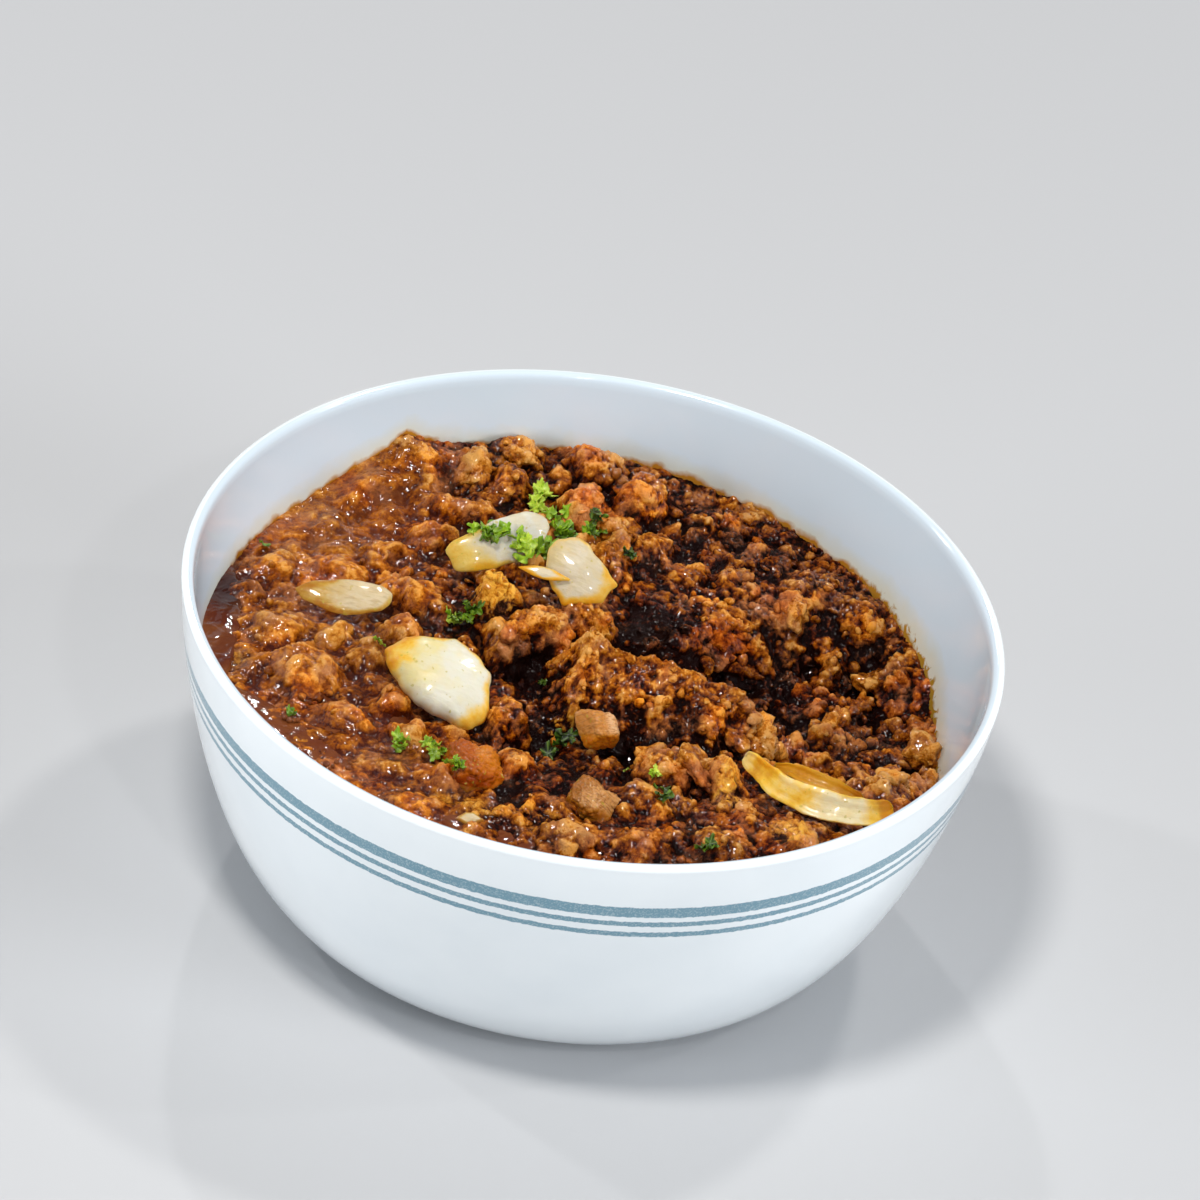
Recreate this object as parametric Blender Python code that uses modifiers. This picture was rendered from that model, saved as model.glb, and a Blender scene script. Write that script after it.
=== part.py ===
"""Chili con carne in a round bowl.

Metres, +Z up. The origin is at the centre of the foot's underside, so the bowl stands on Z = 0.
The bowl is a turned shell. The chili fills it to an uneven top with a scooped hollow at +X.
Onion and tomato pieces lie half sunk in the top, each in a dent that clears it by GAP.
"""

import math

import bmesh
import bpy
import numpy as np

# bowl
RIM_RADIUS = 0.0795
BOWL_HEIGHT = 0.0645
WALL = 0.0024
FOOT_RADIUS = 0.0440
FOOT_WIDTH = 0.0035
FOOT_RECESS = 0.0012
FLOOR = 0.0040
FLANK_POWER = 1.28
BELLY_POWER = 2.35
TURN_STEPS = 48
FLANK_STEPS = 10
LIP_STEPS = 6

# chili
GAP = 0.0003
FILL_LEVEL = 0.0473
CELL = 0.0038
LUMP_PITCH = 0.0125
LUMP_RISE = 0.0046
SEED = 7

# mounds and dips in the top: centre x, y, half length, half width, turn in degrees, rise
MOUNDS = {
    "back_bank": (-0.020, 0.058, 0.026, 0.013, -10, 0.0022),
    "left_bank": (-0.052, 0.030, 0.022, 0.014, 60, 0.0005),
    "petal_seat": (-0.014, 0.026, 0.018, 0.010, -20, 0.0022),
    "middle_lump": (0.013, -0.003, 0.019, 0.010, -8, 0.0062),
    "lump_peak": (0.001, 0.003, 0.006, 0.006, 0, 0.0036),
    "lump_foot": (-0.006, -0.022, 0.014, 0.006, 8, -0.0036),
    "front_mass": (0.010, -0.050, 0.034, 0.013, 4, 0.0028),
    "curl_seat": (0.046, -0.036, 0.020, 0.009, -25, 0.0030),
    "sauce_pool": (-0.050, -0.044, 0.024, 0.010, -42, -0.0018),
}
# the scooped hollow: centre x, y, half length, half width, turn in degrees, depth
HOLLOW = (0.050, 0.017, 0.042, 0.030, 20, 0.0150)
HOLLOW_FLAT = 0.55

# onion and tomato pieces: centre, turn about X, Y and Z in degrees
CHUNK_SIZE = (0.0200, 0.0145, 0.0100)
CHUNK_PLACE = ((-0.0270, -0.0135, 0.0533), (14, 6, -24))
TOMATO_SIZE = (0.0090, 0.0095, 0.0080)
TOMATO_PLACE = ((-0.0168, -0.0340, 0.0508), (8, -6, 12))
DICE = {
    "onion_dice_a": ((0.0085, 0.0075, 0.0045), (0.0052, -0.0175, 0.0523), (34, 8, 20)),
    "onion_dice_b": ((0.0110, 0.0080, 0.0050), (0.0046, -0.0375, 0.0528), (16, -8, -14)),
}
ROUNDING = 0.0016

# onion layers: length, width, thickness, drop of the ends, drop of the sides, tip narrowing
PETALS = {
    "onion_petal_a": ((0.0190, 0.0125, 0.0022, 0.0034, 0.0034, 1.1), (-0.0200, 0.0335, 0.0558), (26, -4, 8)),
    "onion_petal_b": ((0.0150, 0.0120, 0.0022, 0.0022, 0.0026, 1.3), (-0.0040, 0.0235, 0.0548), (34, 14, -32)),
    "onion_slice": ((0.0186, 0.0088, 0.0018, 0.0006, 0.0006, 1.5), (-0.0480, 0.0100, 0.0513), (10, 2, 4)),
    "onion_curl": ((0.0300, 0.0064, 0.0020, 0.0040, 0.0010, 2.4), (0.0470, -0.0310, 0.0538), (24, 6, -20)),
}
PETAL_CELLS = (10, 6)

# colour, roughness, metallic
FINISH = {
    "bowl": ((0.80, 0.85, 0.86), 0.12, 0.0),
    "chili": ((0.26, 0.10, 0.035), 0.35, 0.0),
    "onion": ((0.86, 0.80, 0.58), 0.25, 0.0),
    "tomato": ((0.58, 0.17, 0.05), 0.25, 0.0),
}


def clear_scene():
    for obj in list(bpy.data.objects):
        bpy.data.objects.remove(obj, do_unlink=True)


def collection(name):
    made = bpy.data.collections.new(name)
    bpy.context.scene.collection.children.link(made)
    return made


def material(name):
    colour, roughness, metallic = FINISH[name]
    made = bpy.data.materials.new(name)
    made.use_nodes = True
    shader = made.node_tree.nodes["Principled BSDF"]
    shader.inputs["Base Color"].default_value = (*colour, 1.0)
    shader.inputs["Roughness"].default_value = roughness
    shader.inputs["Metallic"].default_value = metallic
    return made


def add_object(name, mesh, group, finish=None):
    obj = bpy.data.objects.new(name, mesh)
    group.objects.link(obj)
    if finish:
        mesh.materials.append(finish)
        mesh.shade_smooth()
        mesh.set_sharp_from_angle(angle=math.radians(40))
    return obj


def place(obj, centre, turn):
    obj.location = centre
    obj.rotation_euler = [math.radians(a) for a in turn]


def as_cutter(obj):
    obj.hide_render = True
    obj.display_type = "WIRE"


def boolean(obj, other, operation):
    cut = obj.modifiers.new(other.name, "BOOLEAN")
    cut.operation = operation
    cut.solver = "EXACT"
    cut.object = other


# turned shapes

def outer_radius(z):
    """Radius of the bowl's flank: a steep band under the rim, rounding in to the foot."""
    depth = (BOWL_HEIGHT - z) / BOWL_HEIGHT
    return FOOT_RADIUS + (RIM_RADIUS - FOOT_RADIUS) * (1.0 - depth**FLANK_POWER) ** (1.0 / BELLY_POWER)


def inner_radius(z):
    """Radius of the inner wall: the same curve from lip to floor, one wall further in."""
    depth = (BOWL_HEIGHT - z) / (BOWL_HEIGHT - FLOOR)
    reach = FOOT_RADIUS - 0.3 * WALL
    return reach + (RIM_RADIUS - WALL - reach) * max(0.0, 1.0 - depth**FLANK_POWER) ** (1.0 / BELLY_POWER)


def flank(radius_at, top, bottom):
    """Points down a wall, closer together where it rounds in."""
    points = []
    for i in range(FLANK_STEPS + 1):
        t = math.sin(0.5 * math.pi * i / FLANK_STEPS)
        z = top + (bottom - top) * t
        points.append((radius_at(z), z))
    return points


def inner_wall():
    """Points down the inner wall, from the lip's rounding to the floor's centre."""
    return flank(inner_radius, BOWL_HEIGHT - 0.5 * WALL, FLOOR) + [(0.0, FLOOR)]


def bowl_profile():
    lip = 0.5 * WALL
    wall_top = BOWL_HEIGHT - lip
    rim_middle = RIM_RADIUS - lip
    rounded = []
    for i in range(1, LIP_STEPS):
        a = math.pi * (1.0 - i / LIP_STEPS)
        rounded.append((rim_middle + lip * math.cos(a), wall_top + lip * math.sin(a)))
    outside = flank(outer_radius, wall_top, 0.0)
    foot_inside = FOOT_RADIUS - FOOT_WIDTH
    underside = [(foot_inside, 0.0), (foot_inside - FOOT_RECESS, FOOT_RECESS), (0.0, FOOT_RECESS)]
    return inner_wall()[::-1] + rounded + outside + underside


def filling_profile():
    """The inner wall moved into the bowl by GAP, square to each stretch, and closed across the top."""
    wall = np.array(inner_wall())
    run = np.gradient(wall, axis=0)
    run[-1] = (-1.0, 0.0)
    inward = np.stack([run[:, 1], -run[:, 0]], axis=1)
    inward /= np.linalg.norm(inward, axis=1)[:, None]
    side = wall + GAP * inward
    side[0, 1] = wall[0, 1]
    side[-1, 0] = 0.0
    return [(0.0, side[0, 1])] + [tuple(point) for point in side]


def turned(name, profile, group, finish):
    mesh = bpy.data.meshes.new(name)
    edges = [(i, i + 1) for i in range(len(profile) - 1)]
    mesh.from_pydata([(r, 0.0, z) for r, z in profile], edges, [])
    obj = bpy.data.objects.new(name, mesh)
    group.objects.link(obj)
    screw = obj.modifiers.new("turn", "SCREW")
    screw.steps = TURN_STEPS
    screw.render_steps = TURN_STEPS
    screw.use_merge_vertices = True
    screw.merge_threshold = 0.00005
    screw.use_smooth_shade = True
    mesh.materials.append(finish)
    return obj


# the chili's top

def in_frame(x, y, cx, cy, half_length, half_width, turn):
    """Distance from a feature's centre, 1 on its outline ellipse."""
    c = math.cos(math.radians(turn))
    s = math.sin(math.radians(turn))
    u = ((x - cx) * c + (y - cy) * s) / half_length
    v = (-(x - cx) * s + (y - cy) * c) / half_width
    return np.hypot(u, v)


def lumps(x, y):
    """Rounded lumps, one in each square of a jittered grid: the highest dome wins at each point."""
    count = int(2 * RIM_RADIUS / LUMP_PITCH) + 2
    rng = np.random.default_rng(SEED)
    height = np.zeros_like(x)
    for i in range(count):
        for j in range(count):
            jitter = rng.uniform(-0.3, 0.3, 2)
            cx = (i - 0.5 * count + jitter[0]) * LUMP_PITCH
            cy = (j - 0.5 * count + jitter[1]) * LUMP_PITCH
            reach = LUMP_PITCH * rng.uniform(0.55, 0.85)
            rise = LUMP_RISE * rng.uniform(0.45, 1.0)
            dome = np.sqrt(np.clip(1.0 - ((x - cx) ** 2 + (y - cy) ** 2) / reach**2, 0.0, 1.0))
            height = np.maximum(height, rise * dome)
    return height


def top_height(x, y):
    height = FILL_LEVEL + lumps(x, y)
    for cx, cy, half_length, half_width, turn, rise in MOUNDS.values():
        away = in_frame(x, y, cx, cy, half_length, half_width, turn)
        height = height + rise * np.exp(-(away**2))
    away = in_frame(x, y, *HOLLOW[:5])
    slope = np.clip((1.0 - away) / (1.0 - HOLLOW_FLAT), 0.0, 1.0)
    return height - HOLLOW[5] * slope**2 * (3.0 - 2.0 * slope)


def heap_block(group):
    """A block whose upper side is the chili's top, wider than the bowl and deeper than its floor."""
    size = 2.0 * (RIM_RADIUS + CELL)
    cells = round(size / CELL)
    shell = bmesh.new()
    bmesh.ops.create_grid(shell, x_segments=cells, y_segments=cells, size=0.5 * size)
    upper = list(shell.verts)
    where = np.array([v.co[:2] for v in upper])
    for v, z in zip(upper, top_height(where[:, 0], where[:, 1])):
        v.co.z = z
    grown = bmesh.ops.extrude_face_region(shell, geom=list(shell.faces))
    for item in grown["geom"]:
        if isinstance(item, bmesh.types.BMVert):
            item.co.z = -WALL
    bmesh.ops.recalc_face_normals(shell, faces=list(shell.faces))
    mesh = bpy.data.meshes.new("heap_block")
    shell.to_mesh(mesh)
    shell.free()
    obj = add_object("heap_block", mesh, group)
    as_cutter(obj)
    return obj


# onion and tomato

def diced(name, size, centre, turn, group, finish):
    """A cut block with one pinched end and rounded edges."""
    shell = bmesh.new()
    bmesh.ops.create_cube(shell, size=1.0)
    for v in shell.verts:
        pinch = 1.0 - 0.22 * (v.co.x > 0.0) - 0.10 * (v.co.z > 0.0)
        v.co.x *= size[0] * (1.0 - 0.12 * (v.co.y > 0.0))
        v.co.y *= size[1] * pinch
        v.co.z *= size[2] * pinch
    mesh = bpy.data.meshes.new(name)
    shell.to_mesh(mesh)
    shell.free()
    obj = add_object(name, mesh, group, finish)
    place(obj, centre, turn)
    bevel = obj.modifiers.new("rounding", "BEVEL")
    bevel.width = ROUNDING
    bevel.segments = 3
    return obj


def petal(name, shape, centre, turn, group, finish):
    """A layer of onion: a grid narrowed to tips at both ends, domed, and given its thickness."""
    length, width, thickness, drop_long, drop_wide, tip = shape
    shell = bmesh.new()
    bmesh.ops.create_grid(shell, x_segments=PETAL_CELLS[0], y_segments=PETAL_CELLS[1], size=1.0)
    for v in shell.verts:
        u, w = v.co.x, v.co.y
        narrow = 0.16 + 0.84 * (1.0 - abs(u) ** (2.0 * tip)) ** 0.5
        v.co.x = 0.5 * length * u
        v.co.y = 0.5 * width * w * narrow
        v.co.z = -drop_long * u * u - drop_wide * (w * narrow) ** 2
    mesh = bpy.data.meshes.new(name)
    shell.to_mesh(mesh)
    shell.free()
    obj = add_object(name, mesh, group, finish)
    place(obj, centre, turn)
    wall = obj.modifiers.new("thickness", "SOLIDIFY")
    wall.thickness = thickness
    wall.offset = 0.0
    wall.use_even_offset = True
    return obj


def swollen_copy(obj, group):
    """The piece grown by GAP on all sides, to cut its dent."""
    view = bpy.context.evaluated_depsgraph_get()
    mesh = bpy.data.meshes.new_from_object(obj.evaluated_get(view))
    mesh.name = obj.name + "_dent"
    copy = add_object(mesh.name, mesh, group)
    copy.matrix_world = obj.matrix_world
    grow = copy.modifiers.new("gap", "DISPLACE")
    grow.strength = GAP
    grow.mid_level = 0.0
    as_cutter(copy)
    return copy


def build():
    clear_scene()
    parts = collection("chili_con_carne")
    cutters = collection("cutters")
    white = material("bowl")
    brown = material("chili")
    onion = material("onion")
    tomato = material("tomato")

    turned("bowl", bowl_profile(), parts, white)
    chili = turned("chili", filling_profile(), parts, brown)
    boolean(chili, heap_block(cutters), "INTERSECT")

    toppings = [
        diced("onion_chunk", CHUNK_SIZE, *CHUNK_PLACE, parts, onion),
        diced("tomato_piece", TOMATO_SIZE, *TOMATO_PLACE, parts, tomato),
    ]
    for name, (size, centre, turn) in DICE.items():
        toppings.append(diced(name, size, centre, turn, parts, onion))
    for name, (shape, centre, turn) in PETALS.items():
        toppings.append(petal(name, shape, centre, turn, parts, onion))
    bpy.context.view_layer.update()
    for piece in toppings:
        boolean(chili, swollen_copy(piece, cutters), "DIFFERENCE")


build()
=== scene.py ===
import itertools
import math
import bpy
import numpy as np
from mathutils import Euler, Matrix, Vector


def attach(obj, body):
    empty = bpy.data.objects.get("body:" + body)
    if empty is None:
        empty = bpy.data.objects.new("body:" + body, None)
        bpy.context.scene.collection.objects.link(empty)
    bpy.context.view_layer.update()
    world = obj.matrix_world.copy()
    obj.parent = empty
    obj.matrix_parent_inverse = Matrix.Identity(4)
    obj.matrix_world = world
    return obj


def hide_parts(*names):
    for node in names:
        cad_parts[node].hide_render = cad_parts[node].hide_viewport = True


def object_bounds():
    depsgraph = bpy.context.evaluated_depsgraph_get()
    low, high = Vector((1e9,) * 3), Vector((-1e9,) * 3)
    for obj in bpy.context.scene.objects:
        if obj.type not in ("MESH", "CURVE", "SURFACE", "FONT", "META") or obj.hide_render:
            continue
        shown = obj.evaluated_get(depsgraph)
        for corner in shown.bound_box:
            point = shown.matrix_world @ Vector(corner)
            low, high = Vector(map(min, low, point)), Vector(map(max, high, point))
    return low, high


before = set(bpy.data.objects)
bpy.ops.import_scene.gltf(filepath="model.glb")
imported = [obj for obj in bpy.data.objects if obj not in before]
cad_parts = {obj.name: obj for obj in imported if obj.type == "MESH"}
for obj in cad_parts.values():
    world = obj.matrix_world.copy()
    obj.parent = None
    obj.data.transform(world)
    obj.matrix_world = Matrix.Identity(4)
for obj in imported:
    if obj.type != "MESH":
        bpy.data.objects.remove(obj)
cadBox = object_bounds()

# every size below is in millimetres, every angle in degrees
mm = 0.001
rng = np.random.default_rng(21)


# ---- numbers that vary over space ----

def cornerHash(ix, iy, iz, seed):
    # whole-number corner -> 32 mixed bits
    n = ix.astype(np.uint32) * np.uint32(73856093)
    n = n ^ (iy.astype(np.uint32) * np.uint32(19349663))
    n = n ^ (iz.astype(np.uint32) * np.uint32(83492791)) ^ np.uint32(seed * 7919 + 17)
    n = (n ^ (n >> np.uint32(13))) * np.uint32(1274126177)
    n = (n ^ (n >> np.uint32(16))) * np.uint32(2246822519)
    return n ^ (n >> np.uint32(15))


def softNoise(p, size, seed):
    # value noise from -1 to 1: eight corner values blended by a smooth step
    q = (p / size).astype(np.float32)
    cell = np.floor(q).astype(np.int64)
    t = q - cell
    t = t * t * (3.0 - 2.0 * t)
    total = np.zeros(len(q), np.float32)
    for dx, dy, dz in itertools.product((0, 1), repeat=3):
        weight = (t[:, 0] if dx else 1 - t[:, 0]) * (t[:, 1] if dy else 1 - t[:, 1]) * (t[:, 2] if dz else 1 - t[:, 2])
        value = cornerHash(cell[:, 0] + dx, cell[:, 1] + dy, cell[:, 2] + dz, seed) >> np.uint32(8)
        total += weight * (value.astype(np.float32) / 8388608.0 - 1.0)
    return total


def layeredNoise(p, size, octaves, seed):
    # softNoise at size, size/2, size/4 ..., each half as strong
    total = np.zeros(len(p), np.float32)
    for k in range(octaves):
        total += softNoise(p, size / 2**k, seed + 31 * k) / 2**k
    return total


def grains(p, size, seed):
    # rounded grains from one random spot per cell: 1 at a spot, 0 in the cracks between spots
    q = (p / size).astype(np.float32)
    cell = np.floor(q).astype(np.int64)
    q -= cell
    near = np.full(len(q), 9.0, np.float32)
    second = np.full(len(q), 9.0, np.float32)
    for dx, dy, dz in itertools.product((-1, 0, 1), repeat=3):
        bits = cornerHash(cell[:, 0] + dx, cell[:, 1] + dy, cell[:, 2] + dz, seed)
        away = np.zeros(len(q), np.float32)
        for axis, step in enumerate((dx, dy, dz)):
            spot = ((bits >> np.uint32(10 * axis)) & np.uint32(1023)).astype(np.float32) / 1023.0
            away += (q[:, axis] - step - spot) ** 2
        second = np.minimum(second, np.maximum(near, away))
        near = np.minimum(near, away)
    crack = np.sqrt(second) - np.sqrt(near)
    return np.clip(1.0 - near, 0.0, 1.0) * np.clip(2.5 * crack, 0.0, 1.0) ** 0.5


def smoothStep(low, high, x):
    t = np.clip((x - low) / (high - low), 0.0, 1.0)
    return t * t * (3.0 - 2.0 * t)


# ---- meshes ----

def makePiece(name, points, quads, tris=None, values=None, replaces=()):
    # points in mm, faces as index arrays, values as one number per point for each named attribute
    if tris is None:
        tris = np.zeros((0, 3), np.int64)
    mesh = bpy.data.meshes.new(name)
    mesh.vertices.add(len(points))
    mesh.vertices.foreach_set("co", (np.asarray(points, np.float32) * mm).ravel())
    loops = np.concatenate([quads.ravel(), tris.ravel()]).astype(np.int32)
    mesh.loops.add(len(loops))
    mesh.loops.foreach_set("vertex_index", loops)
    starts = np.concatenate([4 * np.arange(len(quads)), 4 * len(quads) + 3 * np.arange(len(tris))])
    mesh.polygons.add(len(starts))
    mesh.polygons.foreach_set("loop_start", starts.astype(np.int32))
    mesh.update(calc_edges=True)
    mesh.validate()
    mesh.shade_smooth()
    for key, value in (values or {}).items():
        mesh.attributes.new(key, "FLOAT", "POINT").data.foreach_set("value", np.asarray(value, np.float32))
    piece = bpy.data.objects.new(name, mesh)
    bpy.context.scene.collection.objects.link(piece)
    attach(piece, "root")
    for node in replaces:
        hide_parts(node)
    print(f"{name}: {len(points)} points, {2 * len(quads) + len(tris)} triangles")
    return piece


def ringFaces(rows, columns, closedTop=True, closedBottom=True):
    # rows of points going round, each row joined to the next; a pole point before the first and after the last row
    r, c = np.meshgrid(np.arange(rows - 1), np.arange(columns), indexing="ij")
    first = 1 if closedTop else 0
    a = first + r * columns + c
    b = first + r * columns + (c + 1) % columns
    quads = np.stack([a, a + columns, b + columns, b], axis=-1).reshape(-1, 4)
    k = np.arange(columns)
    tris = []
    if closedTop:
        tris.append(np.stack([np.zeros_like(k), 1 + k, 1 + (k + 1) % columns], axis=1))
    if closedBottom:
        last = first + rows * columns
        row = first + (rows - 1) * columns
        tris.append(np.stack([np.full_like(k, last), row + (k + 1) % columns, row + k], axis=1))
    return quads, (np.concatenate(tris) if tris else np.zeros((0, 3), np.int64))


def sphereDirections(rows, columns, spread=1.0):
    # unit directions from the top pole to the bottom pole, rows crowded towards the top for spread over 1
    theta = math.pi * (np.arange(1, rows + 1) / (rows + 1)) ** spread
    phi = 2 * math.pi * np.arange(columns) / columns
    ring = np.stack([np.outer(np.sin(theta), np.cos(phi)), np.outer(np.sin(theta), np.sin(phi)),
                     np.outer(np.cos(theta), np.ones(columns))], axis=-1).reshape(-1, 3)
    return np.concatenate([[[0, 0, 1.0]], ring, [[0, 0, -1.0]]])


def turnMatrices(angles):
    return np.array([np.array(Euler([math.radians(v) for v in a]).to_matrix()) for a in angles])


# ---- material helpers ----

def newMaterial(name):
    made = bpy.data.materials.new(name)
    made.use_nodes = True
    return made, made.node_tree, made.node_tree.nodes["Principled BSDF"]


def addNode(tree, kind, inputs=None, **settings):
    # inputs: socket name or number -> a value or another node's output
    made = tree.nodes.new(kind)
    for key, value in settings.items():
        setattr(made, key, value)
    for key, value in (inputs or {}).items():
        if isinstance(value, bpy.types.NodeSocket):
            tree.links.new(value, made.inputs[key])
        else:
            made.inputs[key].default_value = value
    return made


def addMath(tree, operation, a, b=0.0, clamp=False):
    return addNode(tree, "ShaderNodeMath", {0: a, 1: b}, operation=operation, use_clamp=clamp).outputs[0]


def addRange(tree, value, low, high, newLow=0.0, newHigh=1.0, smooth=False):
    kind = "SMOOTHSTEP" if smooth else "LINEAR"
    return addNode(tree, "ShaderNodeMapRange", {0: value, 1: low, 2: high, 3: newLow, 4: newHigh},
                   interpolation_type=kind).outputs[0]


def addMix(tree, factor, a, b, blend="MIX"):
    mix = addNode(tree, "ShaderNodeMix", data_type="RGBA", blend_type=blend)
    for socket, value in ((mix.inputs[0], factor), (mix.inputs[6], a), (mix.inputs[7], b)):
        if isinstance(value, bpy.types.NodeSocket):
            tree.links.new(value, socket)
        else:
            socket.default_value = value if isinstance(value, float) else (*value, 1.0)
    return mix.outputs[2]


def addNoise(tree, coords, scale, detail=3.0, roughness=0.5, distortion=0.0):
    return addNode(tree, "ShaderNodeTexNoise", {"Vector": coords, "Scale": scale, "Detail": detail,
                                                "Roughness": roughness, "Distortion": distortion}).outputs[0]


def addAttribute(tree, name):
    return addNode(tree, "ShaderNodeAttribute", attribute_name=name).outputs["Fac"]


def setBump(tree, shader, height, strength, distance):
    bump = addNode(tree, "ShaderNodeBump", {"Strength": strength, "Distance": distance, "Height": height})
    tree.links.new(bump.outputs[0], shader.inputs["Normal"])


# ---- bowl ----

bowlShape = dict(
    rim=1000 * cadBox[1].x, height=1000 * cadBox[1].z, wall=2.4, foot=44.0, footWidth=3.5, footRecess=1.2, floor=4.0,
    flankPower=1.28, bellyPower=2.35, columns=224, flankRows=70, lipRows=14,
)


def flankRadius(z, top, bottom, wide, narrow):
    # radius down a wall: narrow + (wide - narrow) * (1 - depth^flankPower)^(1 / bellyPower)
    depth = np.clip((top - z) / (top - bottom), 0.0, 1.0)
    return narrow + (wide - narrow) * (1 - depth ** bowlShape["flankPower"]) ** (1 / bowlShape["bellyPower"])


def outerRadius(z):
    return flankRadius(z, bowlShape["height"], 0.0, bowlShape["rim"], bowlShape["foot"])


def innerRadius(z):
    b = bowlShape
    return flankRadius(z, b["height"], b["floor"], b["rim"] - b["wall"], b["foot"] - 0.3 * b["wall"])


def buildBowl(material, edgeHeight):
    # profile from the floor's centre up the inner wall, over a half-round lip and down to the foot, turned about Z
    b = bowlShape
    lip = 0.5 * b["wall"]
    t = np.sin(0.5 * math.pi * np.linspace(0, 1, b["flankRows"]))
    wallTop = b["height"] - lip
    zIn = wallTop + (b["floor"] - wallTop) * t
    zOut = wallTop * (1 - t)
    a = np.linspace(math.pi, 0, b["lipRows"])[1:-1]
    middle = b["rim"] - lip
    footIn = b["foot"] - b["footWidth"]
    inside = np.stack([innerRadius(zIn), zIn], 1)[::-1]
    lipPart = np.stack([middle + lip * np.cos(a), wallTop + lip * np.sin(a)], 1)
    outside = np.stack([outerRadius(zOut), zOut], 1)
    floorPart = np.stack([np.linspace(2, inside[0, 0] - 2, 12), np.full(12, b["floor"])], 1)
    step = np.linspace(0, 1, 6)
    footPart = np.stack([b["foot"] - b["footWidth"] * step, np.zeros(6)], 1)[1:]
    under = np.stack([footIn - b["footRecess"] * step, b["footRecess"] * step ** 0.6], 1)[1:]
    base = np.stack([np.linspace(footIn - 4, 2, 8), np.full(8, b["footRecess"])], 1)
    profile = np.concatenate([floorPart, inside, lipPart, outside, footPart, under, base])
    isInside = np.concatenate([np.ones(len(floorPart) + len(inside) + len(lipPart) // 2),
                               np.zeros(len(profile) - len(floorPart) - len(inside) - len(lipPart) // 2)])
    phi = 2 * math.pi * np.arange(b["columns"]) / b["columns"]
    ring = np.stack([np.outer(profile[:, 0], np.cos(phi)), np.outer(profile[:, 0], np.sin(phi)),
                     np.outer(profile[:, 1], np.ones_like(phi))], -1).reshape(-1, 3)
    points = np.concatenate([[[0, 0, b["floor"]]], ring, [[0, 0, b["footRecess"]]]])
    quads, tris = ringFaces(len(profile), b["columns"])
    quads = quads[:, ::-1]
    tris = tris[:, ::-1]
    inner = np.concatenate([[1], np.repeat(isInside, b["columns"]), [0]])
    above = points[:, 2] - edgeHeight(np.arctan2(points[:, 1], points[:, 0]))
    piece = makePiece("bowlShell", points, quads, tris, {"inner": inner, "aboveChili": above}, ["bowl"])
    piece.data.materials.append(material)
    return piece


def bowlMaterial():
    made, tree, shader = newMaterial("whiteGlassGlaze")
    coords = addNode(tree, "ShaderNodeTexCoord").outputs["Object"]
    height = addNode(tree, "ShaderNodeSeparateXYZ", {0: coords}).outputs[2]
    inner = addAttribute(tree, "inner")
    above = addAttribute(tree, "aboveChili")
    wobble = addRange(tree, addNoise(tree, coords, 900.0, 2.0), 0.3, 0.7, -0.00012, 0.00012)
    edged = addMath(tree, "ADD", height, wobble)
    mask = 0.0
    rimTop = bowlShape["height"] * mm
    for depth, width in ((0.0119, 0.0027), (0.0152, 0.0013), (0.0181, 0.0013)):  # one broad band, two fine ones
        off = addMath(tree, "ABSOLUTE", addMath(tree, "SUBTRACT", edged, rimTop - depth))
        band = addRange(tree, off, 0.5 * width - 0.00008, 0.5 * width + 0.00008, 1.0, 0.0)
        mask = addMath(tree, "MAXIMUM", mask, band)
    outer = addMath(tree, "SUBTRACT", 1.0, inner, clamp=True)
    speckle = addRange(tree, addNoise(tree, coords, 2600.0, 2.0), 0.30, 0.50, 0.72, 1.0)
    mask = addMath(tree, "MULTIPLY", addMath(tree, "MULTIPLY", mask, outer), speckle)
    patch = addRange(tree, addNoise(tree, coords, 60.0, 2.0), 0.3, 0.7)
    white = addMix(tree, patch, (0.80, 0.85, 0.88), (0.84, 0.885, 0.91))
    # painted shade: the inner wall is painted darker and bluer than the outside
    white = addMix(tree, inner, white, (0.605, 0.69, 0.765))
    body = addMix(tree, mask, white, (0.150, 0.295, 0.375))
    side = addNode(tree, "ShaderNodeSeparateXYZ", {0: coords}).outputs[0]
    right = addRange(tree, side, 0.045, 0.066)
    reach = addMath(tree, "ADD", above, addRange(tree, addNoise(tree, coords, 230.0, 3.0), 0.25, 0.75, -1.4, 0.5))
    streak = addMath(tree, "MULTIPLY", right, addRange(tree, addNoise(tree, coords, 520.0, 3.0, 0.6, 0.8), 0.44, 0.60, 0.0, 1.7))
    film = addMath(tree, "MULTIPLY", addRange(tree, addMath(tree, "SUBTRACT", reach, streak), -0.4, 0.6, 1.0, 0.0), inner)
    halo = addMath(tree, "MULTIPLY", addRange(tree, addMath(tree, "SUBTRACT", reach, addMath(tree, "MULTIPLY", right, 2.5)),
                                              0.0, 4.0, 0.45, 0.0), inner)
    body = addMix(tree, halo, body, (0.66, 0.55, 0.26))
    oil = addMix(tree, right, (0.42, 0.17, 0.015), (0.36, 0.20, 0.02))
    body = addMix(tree, film, body, oil)
    tree.links.new(body, shader.inputs["Base Color"])
    shader.inputs["Roughness"].default_value = 0.14
    shader.inputs["Coat Weight"].default_value = 0.35
    shader.inputs["Coat Roughness"].default_value = 0.05
    setBump(tree, shader, addNoise(tree, coords, 45.0, 1.0), 0.05, 0.0006)
    return made


# ---- the chili's broad shape ----

heap = dict(level=45.6, reach=75.4, blendFrom=61.0, blendTo=74.0, warp=1.5, warpSize=6.5, soften=0.8)
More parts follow.
